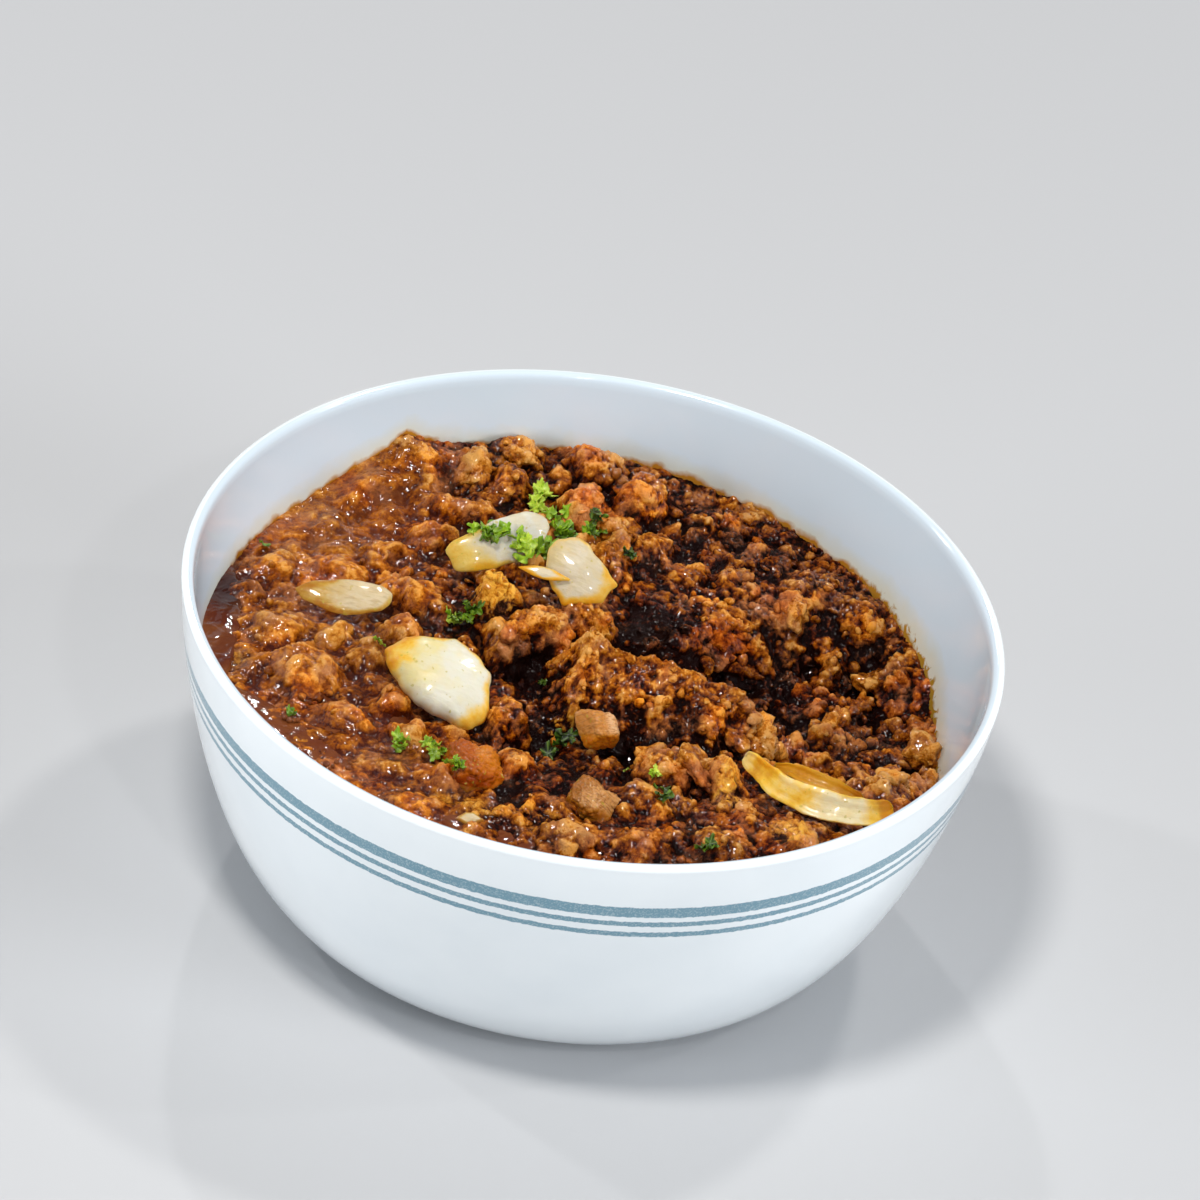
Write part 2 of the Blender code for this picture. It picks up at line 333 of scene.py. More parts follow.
# centre x, y, half length, half width, turn, rise
mounds = dict(
    backBank=(-20, 58, 28, 13, -10, 2.0),
    petalSeat=(-16, 27, 18, 11, -20, 3.2),
    middleGap=(-9, 7, 6, 5, 20, -5.0),
    trench=(15, 14, 17, 7.5, -6, -9.0),
    frontGap=(12, -14, 9, 3.6, -10, -6.0),
    leftFootGap=(-8, -16, 4, 5, 20, -5.0),
    frontMass=(14, -42, 36, 15, 4, 2.6),
    curlSeat=(46, -34, 18, 8, -25, 3.4),
    saucePool=(-52, -46, 26, 9, -42, -1.6),
)
hollow = dict(place=(50, 17, 42, 30, 20), depth=11.0, flat=0.55)
# height where the chili meets the wall, by direction
edgeLevels = {
    -178: 44.0, -165: 43.8, -120: 44.7, -100: 46.0, -80: 47.0, -35: 47.0, -22: 43.5, -10: 37.5, 4: 34.6, 14: 35.4,
    24: 40.5, 40: 43.5, 60: 45.5, 85: 48.0, 108: 49.0, 114: 49.2, 119: 50.8, 122: 52.8, 124: 54.2, 126: 52.0, 131: 49.8, 137: 48.2,
    144: 46.6, 155: 46.2, 166: 45.2,
}


def ellipseDistance(x, y, cx, cy, halfLength, halfWidth, turn):
    c, s = math.cos(math.radians(turn)), math.sin(math.radians(turn))
    return np.hypot(((x - cx) * c + (y - cy) * s) / halfLength, (-(x - cx) * s + (y - cy) * c) / halfWidth)


def hollowDepth(x, y):
    # 1 on the hollow's floor, 0 outside it
    return smoothStep(0, 1, (1 - ellipseDistance(x, y, *hollow["place"])) / (1 - hollow["flat"]))


def edgeLevel(angle):
    return np.interp(np.degrees(angle), list(edgeLevels), list(edgeLevels.values()), period=360)


def baseHeight(x, y):
    # a level top with soft mounds added and the hollow taken away, led to the edge's height near the wall
    z = heap["level"] + 0.0 * x
    for *place, rise in mounds.values():
        z = z + rise * np.exp(-ellipseDistance(x, y, *place) ** 2)
    z = z - hollow["depth"] * hollowDepth(x, y)
    outer = smoothStep(heap["blendFrom"], heap["blendTo"], np.hypot(x, y))
    return z * (1 - outer) + edgeLevel(np.arctan2(y, x)) * outer


def smeared(x, y):
    # 1 on the smooth smear of chili drawn up the wall at the back left
    return np.exp(-ellipseDistance(x, y, -50, 45, 17, 11, 40) ** 2)


def frontShare(x, y):
    return smoothStep(-16, -38, y) * smoothStep(66, 36, x)


def coating(x, y):
    # 1 where sauce coats and smooths the meat, at the left and back left, 0 where it is bare and crumbly
    left = smoothStep(-10, -48, x + 0.25 * y)
    back = np.exp(-ellipseDistance(x, y, -22, 44, 26, 24, 20) ** 2)
    return np.clip(0.75 * left + 0.6 * smeared(x, y) + 0.40 * back + 0.50 * frontShare(x, y), 0, 1)


# pits painted darker as shade, behind and under lumps, in the trench and the hollow: x, y, half length, half width,
# turn, how much darker
shadePaintedPits = dict(
    behindRidge=(12, 17, 8, 11, 0, 0.50), besidePetal=(10, 30, 7, 10, -20, 0.30), farBehind=(27, 22, 16, 11, -10, 0.26),
    leftOfPeak=(-10, 6, 5, 4, 20, 0.40), underRidge=(10, -12.5, 9, 3.2, -10, 0.45), leftFoot=(-8.5, -15.5, 4, 4, 0, 0.40),
    underCurl=(40, -20, 10, 5, -30, 0.35), hollowFloor=(48, 14, 22, 15, 20, 0.03), beforeTomato=(-10, -38, 5, 4, 0, 0.25),
    besideChunk=(-19, -2, 6, 4, 20, 0.35), frontDark=(2, -27, 6, 3, 0, 0.30), backDark=(-2, 62, 8, 3, 0, 0.25),
    atWall=(-70, 13, 5, 7, 0, 0.55), leftDark=(-44, 37, 6, 3, 10, 0.22),
)


# spots where the meat is fried golden or tinted by onion: x, y, half length, half width, turn, how much
goldenSpots = dict(
    crumb=(-19.6, 19.0, 4.6, 4.6, 0, 1.0), besideDice=(-2.0, -12.6, 4.4, 3.2, -10, 0.9), cubeA=(31.6, -29.0, 2.8, 4.0, 0, 0.9),
    cubeB=(43.5, -37.5, 3.6, 3.2, 0, 0.9), frontLong=(-12.5, -46.0, 6.5, 3.0, 0, 0.45), frontPair=(-3.0, -47.0, 4.0, 3.0, 0, 0.35),
    underTomato=(-20, -42, 5, 3, 0, 0.4), atPool=(-66, -8, 3, 3, 0, 0.6), slicePlace=(-47, 4, 9, 3, 0, 0.25),
)


def gilded(x, y):
    return np.clip(sum(much * np.exp(-ellipseDistance(x, y, *place) ** 4) for *place, much in goldenSpots.values()), 0, 1)


# painted shade summed over the pits, at most 0.6
def paintedShade(x, y):
    return np.clip(sum(dark * np.exp(-ellipseDistance(x, y, *place) ** 4) for *place, dark in shadePaintedPits.values()), 0, 0.6)


# blocks of meat by place: x, y, height of the top, half length, half width, half height, turn
meatBlocks = dict(
    petalBlock=(-9.5, 14, 53.6, 6.5, 6.5, 7.5, 20), 
    smearA=(-46, 51, 50.6, 9.5, 5.4, 4.8, 38), smearB=(-55, 39, 47.4, 8, 5.5, 4, 52), backA=(-35, 61.5, 50.2, 3.8, 3.6, 3.8, 0),
    backB=(-29, 60, 50.2, 4.6, 3.6, 3.6, 20), backC=(-29, 67, 50.8, 5, 3.2, 3.6, 10),
    backD=(-21, 69, 52.2, 7, 4.6, 5.2, 4), backSquare=(-20.9, 58.5, 51.0, 4.2, 4.0, 4.4, 8),
    backLong=(-28.8, 49.5, 50.8, 9.5, 4.0, 4.6, -4), backE=(-13, 63, 50.8, 5, 5, 5, 40),
    backTall=(-5, 69, 53.4, 7.5, 5, 7, -5), backBlock=(-5.5, 55.5, 53.0, 7, 6.5, 7.5, 55),
    backG=(6, 61, 51.6, 7, 6, 6.5, 0), backH=(9, 49, 50.0, 6.5, 6, 7.5, 30), backI=(-14.5, 48, 50.8, 6, 4.6, 5, -30),
    backJ=(2, 43, 50.5, 6, 6, 6.5, 10), leftA=(-32.7, 39.6, 50.4, 7, 4.6, 4.8, -12), leftB=(-41.5, 32, 48.8, 6.5, 4, 4, 20),
    leftC=(-50, 25.8, 48.8, 6, 4.4, 4, 8), leftDark=(-62.2, 22.7, 49.0, 8, 6, 5, 30), leftD=(-67.5, 13, 47.6, 4.5, 5, 4, 0),
    petalSeat=(-20, 32, 53.0, 9.5, 6.5, 6.5, 5), orangeCrumb=(-19.4, 19.6, 54.4, 3.9, 3.4, 2.6, 0),
    underPetal=(-2, 21, 51.8, 6, 5, 6, 0), smoothLong=(-35, 18.6, 50.8, 8.5, 3.5, 3.6, -8),
    pinkLump=(-35.2, 6.2, 51.0, 5.2, 5.2, 4.8, 0), smoothPair=(-15.5, 8, 52.4, 3.8, 6, 5, 18),
    sideA=(-59, 4.5, 49.0, 8, 5, 4.6, 10), bigCrumbly=(-53.2, -10.5, 51.2, 9.5, 7.6, 6.4, -12),
    sideB=(-62, -8.6, 48.0, 3.4, 2.8, 2.6, 0), sideC=(-41.7, -2.0, 49.6, 4.6, 5.2, 4.6, 0),
    poolEdge=(-43, -22.5, 49.8, 8.8, 5.4, 5.2, -26), sideD=(-35, -14.5, 49.8, 5.2, 4.6, 4.2, 30),
    sideE=(-31.2, -24.6, 50.3, 4.6, 4.2, 4.2, 0), besideChunk=(-13, -15.5, 51.0, 3.4, 6.2, 4.8, 10),
    besideTomato=(-8.8, -28.6, 50.8, 4.6, 5.2, 4.8, 0), frontLeft=(-28, -46.5, 49.2, 7.5, 5, 4.6, -20),
    frontLong=(-12.5, -46, 49.6, 8.5, 3.2, 3.6, -4), frontPale=(-15.5, -50.5, 48.4, 4, 3, 2.6, 0),
    frontA=(21, -23, 51.6, 8, 6, 6, 0), frontB=(29.5, -24.5, 52.6, 4.6, 8, 6.2, 10), frontC=(16.5, -35, 50.6, 6.2, 5, 5, 20),
    frontD=(1, -51, 50.6, 7, 5, 5, 0), frontE=(16, -48, 51.2, 7, 5, 5.6, -15), frontF=(31, -43, 50.8, 7, 5.4, 5.4, 10),
    frontG=(46, -43, 49.4, 6.5, 5, 5, -30), frontH=(36, -35.5, 49.4, 6, 5, 5, 0), frontI=(-22, -36, 50.0, 4.6, 4, 4, 20),
    frontJ=(-3, -41, 50.2, 5, 4, 4.2, 0), frontK=(60, -19, 48.2, 5.5, 5, 5, -60), frontL=(-3, -63, 49.4, 8, 5, 5, 0),
    frontM=(18, -61, 49.8, 8, 5, 5, 6), frontN=(37, -54, 49.4, 7, 5, 5, 20), frontO=(53, -46, 48.8, 7, 4.4, 4.6, 40),
    frontP=(-22, -59, 48.2, 7, 5, 4.4, -15), frontQ=(7, -27.5, 49.4, 5, 4.4, 4.4, 0),
)
# the crumbly ridge in the middle: its crest by distance along it, falling gently to the front and steeply behind
ridge = dict(start=(0.5, 3.4), turn=-4, along=(-9, -5, -1.5, 0, 1.5, 5, 12, 21, 26, 31, 38, 45),
             crest=(45.0, 51.5, 57.6, 60.2, 58.2, 56.0, 55.4, 54.4, 52.8, 50.0, 42.0, 30.0), front=0.62, back=2.6)


def ridgeHeight(x, y):
    c, s = math.cos(math.radians(ridge["turn"])), math.sin(math.radians(ridge["turn"]))
    u = (x - ridge["start"][0]) * c + (y - ridge["start"][1]) * s
    v = -(x - ridge["start"][0]) * s + (y - ridge["start"][1]) * c
    fall = np.where(v < 0, ridge["front"] * np.maximum(-v, 0) + 0.0012 * np.maximum(-v, 0) ** 3.2, ridge["back"] * v)
    return np.interp(u, ridge["along"], ridge["crest"]) - fall


# where onion and tomato lie, the meat is pressed down: x, y, half length, half width, turn, height left
seats = dict(
    chunk=(-26.5, -13.2, 10.6, 8.0, -28, 50.2), tomato=(-16.8, -33.8, 5.6, 5.6, 12, 47.6), diceA=(5.2, -16.6, 4.0, 3.6, 20, 49.6),
    diceB=(5.2, -38.6, 5.2, 4.4, -24, 49.0), slice=(-48.2, 10.8, 10.0, 4.0, 6, 50.0), petalA=(-18.5, 34, 9, 5.4, 20, 53.4),
    petalB=(-4.6, 23.4, 7.5, 5.6, -26, 52.2), curl=(47, -28.5, 15.5, 3.4, -14, 48.6),
)


def softMax(a, b, width):
    return 0.5 * (a + b + np.sqrt((a - b) ** 2 + width * width))


def billow(p, size, octaves, seed, fade=1.8):
    # layered |softNoise| on turned axes: uneven rounded bumps parted by sharp creases, from 0 to about 1
    total = np.zeros(len(p), np.float32)
    for k in range(octaves):
        spin = np.array(Euler((0.7 + k, 0.4 * k, 1.1 + 2.3 * k)).to_matrix(), np.float32)
        total += np.abs(softNoise(p.astype(np.float32) @ spin, size / 2**k, seed + 31 * k)) / fade**k
    return 1.25 * total / sum(1 / fade**k for k in range(octaves))


mapShape = dict(cell=0.25, half=77.0)


def blurred(grid, radius):
    # Gaussian weights along x, then along y
    k = np.arange(-int(3 * radius), int(3 * radius) + 1)
    w = np.exp(-0.5 * (k / radius) ** 2)
    w /= w.sum()
    pad = len(k) // 2
    for axis in (0, 1):
        wide = np.pad(grid, [(pad, pad) if a == axis else (0, 0) for a in (0, 1)], mode="edge")
        size = grid.shape[axis]
        grid = sum(wt * (wide[o:o + size] if axis == 0 else wide[:, o:o + size]) for o, wt in enumerate(w))
    return grid


def readMap(grid, x, y):
    # bilinear
    n = len(grid)
    fx = np.clip((x + mapShape["half"]) / mapShape["cell"], 0, n - 1.001)
    fy = np.clip((y + mapShape["half"]) / mapShape["cell"], 0, n - 1.001)
    i, j = fx.astype(int), fy.astype(int)
    tx, ty = fx - i, fy - j
    near = grid[i, j] * (1 - ty) + grid[i, j + 1] * ty
    far = grid[i + 1, j] * (1 - ty) + grid[i + 1, j + 1] * ty
    return near * (1 - tx) + far * tx


def heapMap():
    # broad top on a square grid: base, blocks and ridge joined softly on bent coordinates, then creased lumps, then seats
    s = np.arange(-mapShape["half"], mapShape["half"] + 1e-6, mapShape["cell"])
    x, y = (v.ravel() for v in np.meshgrid(s, s, indexing="ij"))
    flat = np.stack([x, y, 0 * x], 1)
    bendX = heap["warp"] * layeredNoise(flat, heap["warpSize"], 4, 301)
    bendY = heap["warp"] * layeredNoise(flat, heap["warpSize"], 4, 302)
    calm = smoothStep(heap["blendTo"] + 2, heap["blendFrom"] + 4, np.hypot(x, y))
    wx, wy = x + bendX * calm, y + bendY * calm
    bareness = 1 - coating(x, y)
    z = baseHeight(wx, wy) - 1.2 * bareness * calm
    for cx, cy, top, halfLength, halfWidth, halfHeight, turn in meatBlocks.values():
        e = ellipseDistance(wx, wy, cx, cy, halfLength, halfWidth, turn)
        cap = top - halfHeight * e ** 2.6
        z = softMax(z, cap - 0.25 * (1 - bareness) * (top - z), heap["soften"])
    z = softMax(z, ridgeHeight(x + 0.7 * bendX, y + 0.7 * bendY), 0.5)
    onRidge = smoothStep(-1.5, 1.5, ridgeHeight(x, y) - 50)
    lumps = billow(flat, 9.0, 2, 411) - 0.30
    small = billow(flat, 4.2, 2, 431) - 0.30
    deepPit = hollowDepth(x, y)
    z += calm * (1 - 0.5 * onRidge) * (lumps * (1.6 + 2.0 * bareness + 2.4 * deepPit)
                                       + small * (0.9 + 1.2 * bareness + 1.0 * deepPit))
    for cx, cy, halfLength, halfWidth, turn, left in seats.values():
        e = ellipseDistance(x + 0.5 * bendX, y + 0.5 * bendY, cx, cy, halfLength, halfWidth, turn)
        z = z - smoothStep(1.15, 0.85, e) * np.maximum(z - left, 0)
    return blurred(z.reshape(len(s), len(s)), 0.30 / mapShape["cell"])


# ---- ground meat ----

meatGrain = dict(coarse=3.6, coarseRise=0.92, torn=1.5, tornRise=0.40, fine=1.10, fineRise=0.09, grit=0.72, gritRise=0.22)


def roughen(points, outward, strength, seed):
    # points moved outward by creased coarse crumbs, torn edges, fine crumbs and grit; returns how far out each one is
    g = meatGrain
    bare = 1 - 0.50 * coating(points[:, 0], points[:, 1]) - 0.30 * smeared(points[:, 0], points[:, 1])
    onRidge = smoothStep(-2.0, 1.0, ridgeHeight(points[:, 0], points[:, 1]) - points[:, 2])
    bend = np.stack([layeredNoise(points, 3.0, 2, seed + 70 + axis) for axis in range(3)], 1)
    coarse = billow(points * (0.8, 1.2, 1.0) + 1.3 * bend, g["coarse"], 2, seed + 5, 2.4)
    torn = layeredNoise(points + 0.8 * bend, g["torn"], 3, seed + 40)
    fine = grains(points + 0.5 * bend, g["fine"], seed + 11)
    grit = layeredNoise(points + 0.3 * bend, g["grit"], 2, seed + 50)
    move = (g["coarseRise"] * (1 - 0.6 * onRidge) * (coarse - 0.35) + g["tornRise"] * torn
            + g["fineRise"] * (1 - 0.8 * onRidge) * (fine - 0.5) + g["gritRise"] * (1 + 0.8 * onRidge) * grit)
    rise = 0.58 * coarse + 0.24 * torn + 0.20 * fine + 0.14 * grit + 0.08
    return points + outward * (move * bare * strength)[:, None], rise


def keepInBowl(points, clearance=-0.15):
    # points beyond the inner wall are drawn back to just inside its surface
    radius = np.hypot(points[:, 0], points[:, 1])
    limit = innerRadius(points[:, 2]) - clearance
    scale = np.where(radius > limit, limit / np.maximum(radius, 1e-6), 1.0)
    points[:, 0] *= scale
    points[:, 1] *= scale
    return points


coreShape = dict(cells=620, strips=4, bottom=30.0)


def discGrid(cells):
    # a square grid bent to a disc of radius 1 with nearly even spacing
    s = np.linspace(-1, 1, cells)
    u, v = np.meshgrid(s, s, indexing="ij")
    return (u * np.sqrt(1 - 0.5 * v * v)).ravel(), (v * np.sqrt(1 - 0.5 * u * u)).ravel()


def gridFaces(rows, columns):
    a, b = np.meshgrid(np.arange(rows - 1), np.arange(columns - 1), indexing="ij")
    i = a * columns + b
    return np.stack([i, i + columns, i + columns + 1, i + 1], -1).reshape(-1, 4)


def closedSheet(points, rows, columns, bottom):
    # a grid of points closed by a skirt down to a level bottom and a fan across it
    j = np.arange(columns)
    k = np.arange(rows)
    border = np.concatenate([k * columns, (rows - 1) * columns + j[1:], (k[::-1] * columns + columns - 1)[1:], j[::-1][1:-1]])
    low = points[border].copy()
    low[:, 2] = bottom
    low = keepInBowl(low, 1.0)
    first, m = len(points), len(border)
    i = np.arange(m)
    sides = np.stack([border, first + i, first + (i + 1) % m, border[(i + 1) % m]], 1)[:, ::-1]
    fan = np.stack([np.full(m, first + m), first + (i + 1) % m, first + i], 1)[:, ::-1]
    allPoints = np.concatenate([points, low, [low.mean(0)]])
    return allPoints, np.concatenate([gridFaces(rows, columns), sides]), fan, m + 1


def coreSurfaces(broad):
    # the heap's top with crumbs standing square to it, cut into strips that are closed bodies
    n = coreShape["cells"]
    u, v = discGrid(n)
    x, y = u * heap["reach"], v * heap["reach"]
    soft = blurred(broad, 0.5 / mapShape["cell"])
    slopeX, slopeY = np.gradient(soft, mapShape["cell"])
    normal = np.stack([-readMap(slopeX, x, y), -readMap(slopeY, x, y), np.ones_like(x)], 1)
    normal /= np.linalg.norm(normal, axis=1)[:, None]
    points, rise = roughen(np.stack([x, y, readMap(broad, x, y)], 1), normal, 1.0, 3)
    points = keepInBowl(points)
    tint = 0.5 + 0.5 * layeredNoise(points, 7.0, 2, 77)
    made = []
    cuts = np.linspace(0, n - 1, coreShape["strips"] + 1).astype(int)
    for k in range(coreShape["strips"]):
        part = slice(cuts[k] * n, (cuts[k + 1] + 1) * n)
        strip, quads, fan, extra = closedSheet(points[part], cuts[k + 1] - cuts[k] + 1, n, coreShape["bottom"])
        pad = np.zeros(extra)
        made.append(dict(name=f"chiliTop{k + 1}", points=strip, quads=quads, tris=fan, flat=extra - 1,
                         rise=np.concatenate([rise[part], pad]), tint=np.concatenate([tint[part], pad])))
    return made


def lumpSurfaces(name, centres, radii, turns, rows, columns, seed, strength, planes=10, spread=0.85, sharp=8.0):
    # each lump: distance from its centre is a soft minimum of distances to random planes, then roughened
    count = len(centres)
    d = sphereDirections(rows, columns, spread)
    local = np.random.default_rng(seed)
    normals = local.normal(size=(count, planes, 3))
    normals /= np.linalg.norm(normals, axis=2)[:, :, None]
    away = local.uniform(0.62, 1.10, (count, planes))
    facing = np.einsum("mc,kpc->kmp", d, normals)
    hit = away[:, None, :] / np.maximum(facing, 0.08)
    shape = (np.sum(hit ** -sharp, axis=2) + 1.15 ** -sharp) ** (-1 / sharp)
    spin = turnMatrices(turns)
    points = np.einsum("kab,kmb->kma", spin, shape[:, :, None] * d[None] * radii[:, None, :])
    outward = points / np.maximum(np.linalg.norm(points, axis=2), 1e-6)[:, :, None]
    points = (points + centres[:, None, :]).reshape(-1, 3)
    small = np.repeat(np.clip(radii.mean(1) / 3.0, 0.22, 1.0), len(d))
    broad = layeredNoise(points, 4.0, 2, seed + 3)
    points = points + outward.reshape(-1, 3) * (0.9 * broad * small)[:, None]
    points, rise = roughen(points, outward.reshape(-1, 3), strength * small, seed)
    points = keepInBowl(points)
    quads, tris = ringFaces(rows, columns)
    offset = (np.arange(count) * len(d))[:, None, None]
    tint = np.repeat(local.uniform(0, 1, count), len(d))
    return dict(name=name, points=points, quads=(quads[None] + offset).reshape(-1, 4), flat=0,
                tris=(tris[None] + offset).reshape(-1, 3), rise=rise, tint=tint)


def looseLumps(broad):
    # torn lumps lying on the bare part of the heap, closer together in the hollow
    made = []
    for name, pitch, low, high in (("meatLumpsMedium", 6.6, 2.0, 3.8), ("meatLumpsSmall", 3.9, 0.9, 1.9)):
        s = np.arange(-76, 77, pitch)
        x, y = np.meshgrid(s, s, indexing="ij")
        x = x.ravel() + rng.uniform(-0.48, 0.48, x.size) * pitch
        y = y.ravel() + rng.uniform(-0.48, 0.48, y.size) * pitch
        seated = np.min([ellipseDistance(x, y, *seat[:5]) for seat in seats.values()], axis=0) < 1.25
        chance = (0.32 + 0.30 * hollowDepth(x, y)) * (1 - coating(x, y)) ** 1.5 * (1 if pitch > 5 else 0.55)
        keep = (np.hypot(x, y) < 72.5) & ~seated & (rng.uniform(0, 1, len(x)) < chance) & (ridgeHeight(x, y) < 50)
        keep &= ellipseDistance(x, y, *mounds["trench"][:5]) > 0.9
        x, y = x[keep], y[keep]
        size = rng.uniform(low, high, len(x))
        z = readMap(broad, x, y) - 0.58 * size + rng.uniform(-0.2, 0.2, len(x)) * size
        radii = size[:, None] * rng.uniform(0.65, 1.50, (len(x), 3)) * np.array([1.15, 1.0, 0.80])
        turns = rng.uniform(0, 360, (len(x), 3)) * np.array([0.15, 0.15, 1.0])
        rows, columns = (28, 40) if pitch > 5 else (12, 17)
        made.append(lumpSurfaces(name, np.stack([x, y, z], 1), radii, turns, rows, columns, 57 + len(made), 1.95, 9, 0.9, 14.0))
    return made


def crumbSurfaces(broad):
    count = 1500
    r = 73.0 * np.sqrt(rng.uniform(0, 1, count))
    a = rng.uniform(0, 2 * math.pi, count)
    x, y = r * np.cos(a), r * np.sin(a)
    keep = rng.uniform(0, 1, count) > 0.2 + 0.8 * coating(x, y)
    x, y = x[keep], y[keep]
    size = rng.uniform(0.35, 0.90, len(x)) ** 1.2
    centres = np.stack([x, y, readMap(broad, x, y) - 0.1 * size], 1)
    radii = size[:, None] * rng.uniform(0.50, 1.70, (len(x), 3))
    turns = rng.uniform(0, 360, (len(x), 3))
    return lumpSurfaces("meatCrumbs", centres, radii, turns, 6, 9, 71, 1.6, 6, 1.0, 14.0)


def buildMeat(surface, near, far, material):
    # how far each point lies above or below the blurred heap, near and far, goes with it as an attribute; the material
    # paints lower points darker as shade
    points = surface["points"]
    x, y = points[:, 0], points[:, 1]
    level = (0.5 + 0.24 * np.clip(points[:, 2] - readMap(near, x, y), -3, 1.0)
             + 0.085 * np.clip(points[:, 2] - readMap(far, x, y), -6, 2.2))
    bendX, bendY = 2.5 * softNoise(points, 5.0, 88), 2.5 * softNoise(points, 5.0, 89)
    # painted shade: darker in the pits and on the low meat below 48 mm
    level = level - paintedShade(x + bendX, y + bendY) - 0.06 * smoothStep(48, 37, points[:, 2])
    values = dict(rise=surface["rise"], tint=surface["tint"], level=np.clip(level, -0.3, 1), wet=coating(x, y) - 0.35 * frontShare(x, y),
                  gold=gilded(x + bendX * 0.5, y + bendY * 0.5))
    piece = makePiece(surface["name"], points, surface["quads"], surface["tris"], values, ["chili"])
    if surface["flat"]:
        flat = np.zeros(len(piece.data.polygons), bool)
        flat[-2 * surface["flat"]:] = True
        piece.data.attributes.new("sharp_face", "BOOLEAN", "FACE").data.foreach_set("value", flat)
    piece.data.materials.append(material)


def sauceLevel(x, y):
    # level of loose sauce: a pool along the front left, pockets at the front, none at the right and in the hollow
    pool = 45.5 - 30.0 * smoothStep(0.9, 1.7, ellipseDistance(x, y, -55, -41, 38, 15, -44))
    front = 46.6 - 30.0 * smoothStep(0.5, 1.6, ellipseDistance(x, y, -10, -50, 34, 13, 2))
    side = 45.8 - 30.0 * smoothStep(0.8, 1.5, ellipseDistance(x, y, -72, 1, 27, 6.5, 92))
    wall = 45.9 - 30.0 * smoothStep(0.0, 1.0, (73.6 - np.hypot(x, y)) / 9 + smoothStep(-50, -30, x) * 3
                                    + 3 * smoothStep(-8, 8, y))
    return np.maximum(np.maximum(pool, side), np.maximum(front, wall))


def buildSauce(material, broad):
    # a closed sheet whose top fills pools and the creases of the coated meat, lying just under the heap's blurred top
    soft = blurred(broad, 1.6 / mapShape["cell"])
    n = 306
    u, v = discGrid(n)
    x, y = u * heap["reach"], v * heap["reach"]
    under = 0.70 + 0.95 * (1 - coating(x, y)) + 0.5 * hollowDepth(x, y)
    z = softMax(readMap(soft, x, y) - under, sauceLevel(x, y), 0.8)
    z += 0.16 * layeredNoise(np.stack([x, y, z], 1), 4.0, 3, 91)
    points, quads, fan, extra = closedSheet(keepInBowl(np.stack([x, y, z], 1)), n, n, coreShape["bottom"] - 1)
    x, y = points[:, 0], points[:, 1]
    # painted shade: the sauce is drawn near black in the pits and in the creases of the bare meat
    sauceShade = np.clip(1.4 * paintedShade(x, y) + 0.80 * (1 - coating(x, y)) - 0.45 * frontShare(x, y), 0, 1)
    piece = makePiece("sauceFilm", points, quads, fan, dict(sauceShade=sauceShade), ["chili"])
    flat = np.zeros(len(piece.data.polygons), bool)
    flat[-2 * (extra - 1):] = True
    piece.data.attributes.new("sharp_face", "BOOLEAN", "FACE").data.foreach_set("value", flat)
    piece.data.materials.append(material)


def colourRamp(tree, factor, stops):
    ramp = addNode(tree, "ShaderNodeValToRGB", {0: factor})
    for k, (position, colour) in enumerate(stops):
        point = ramp.color_ramp.elements[k] if k < 2 else ramp.color_ramp.elements.new(position)
        point.position, point.color = position, (*colour, 1)
    return ramp.outputs[0]


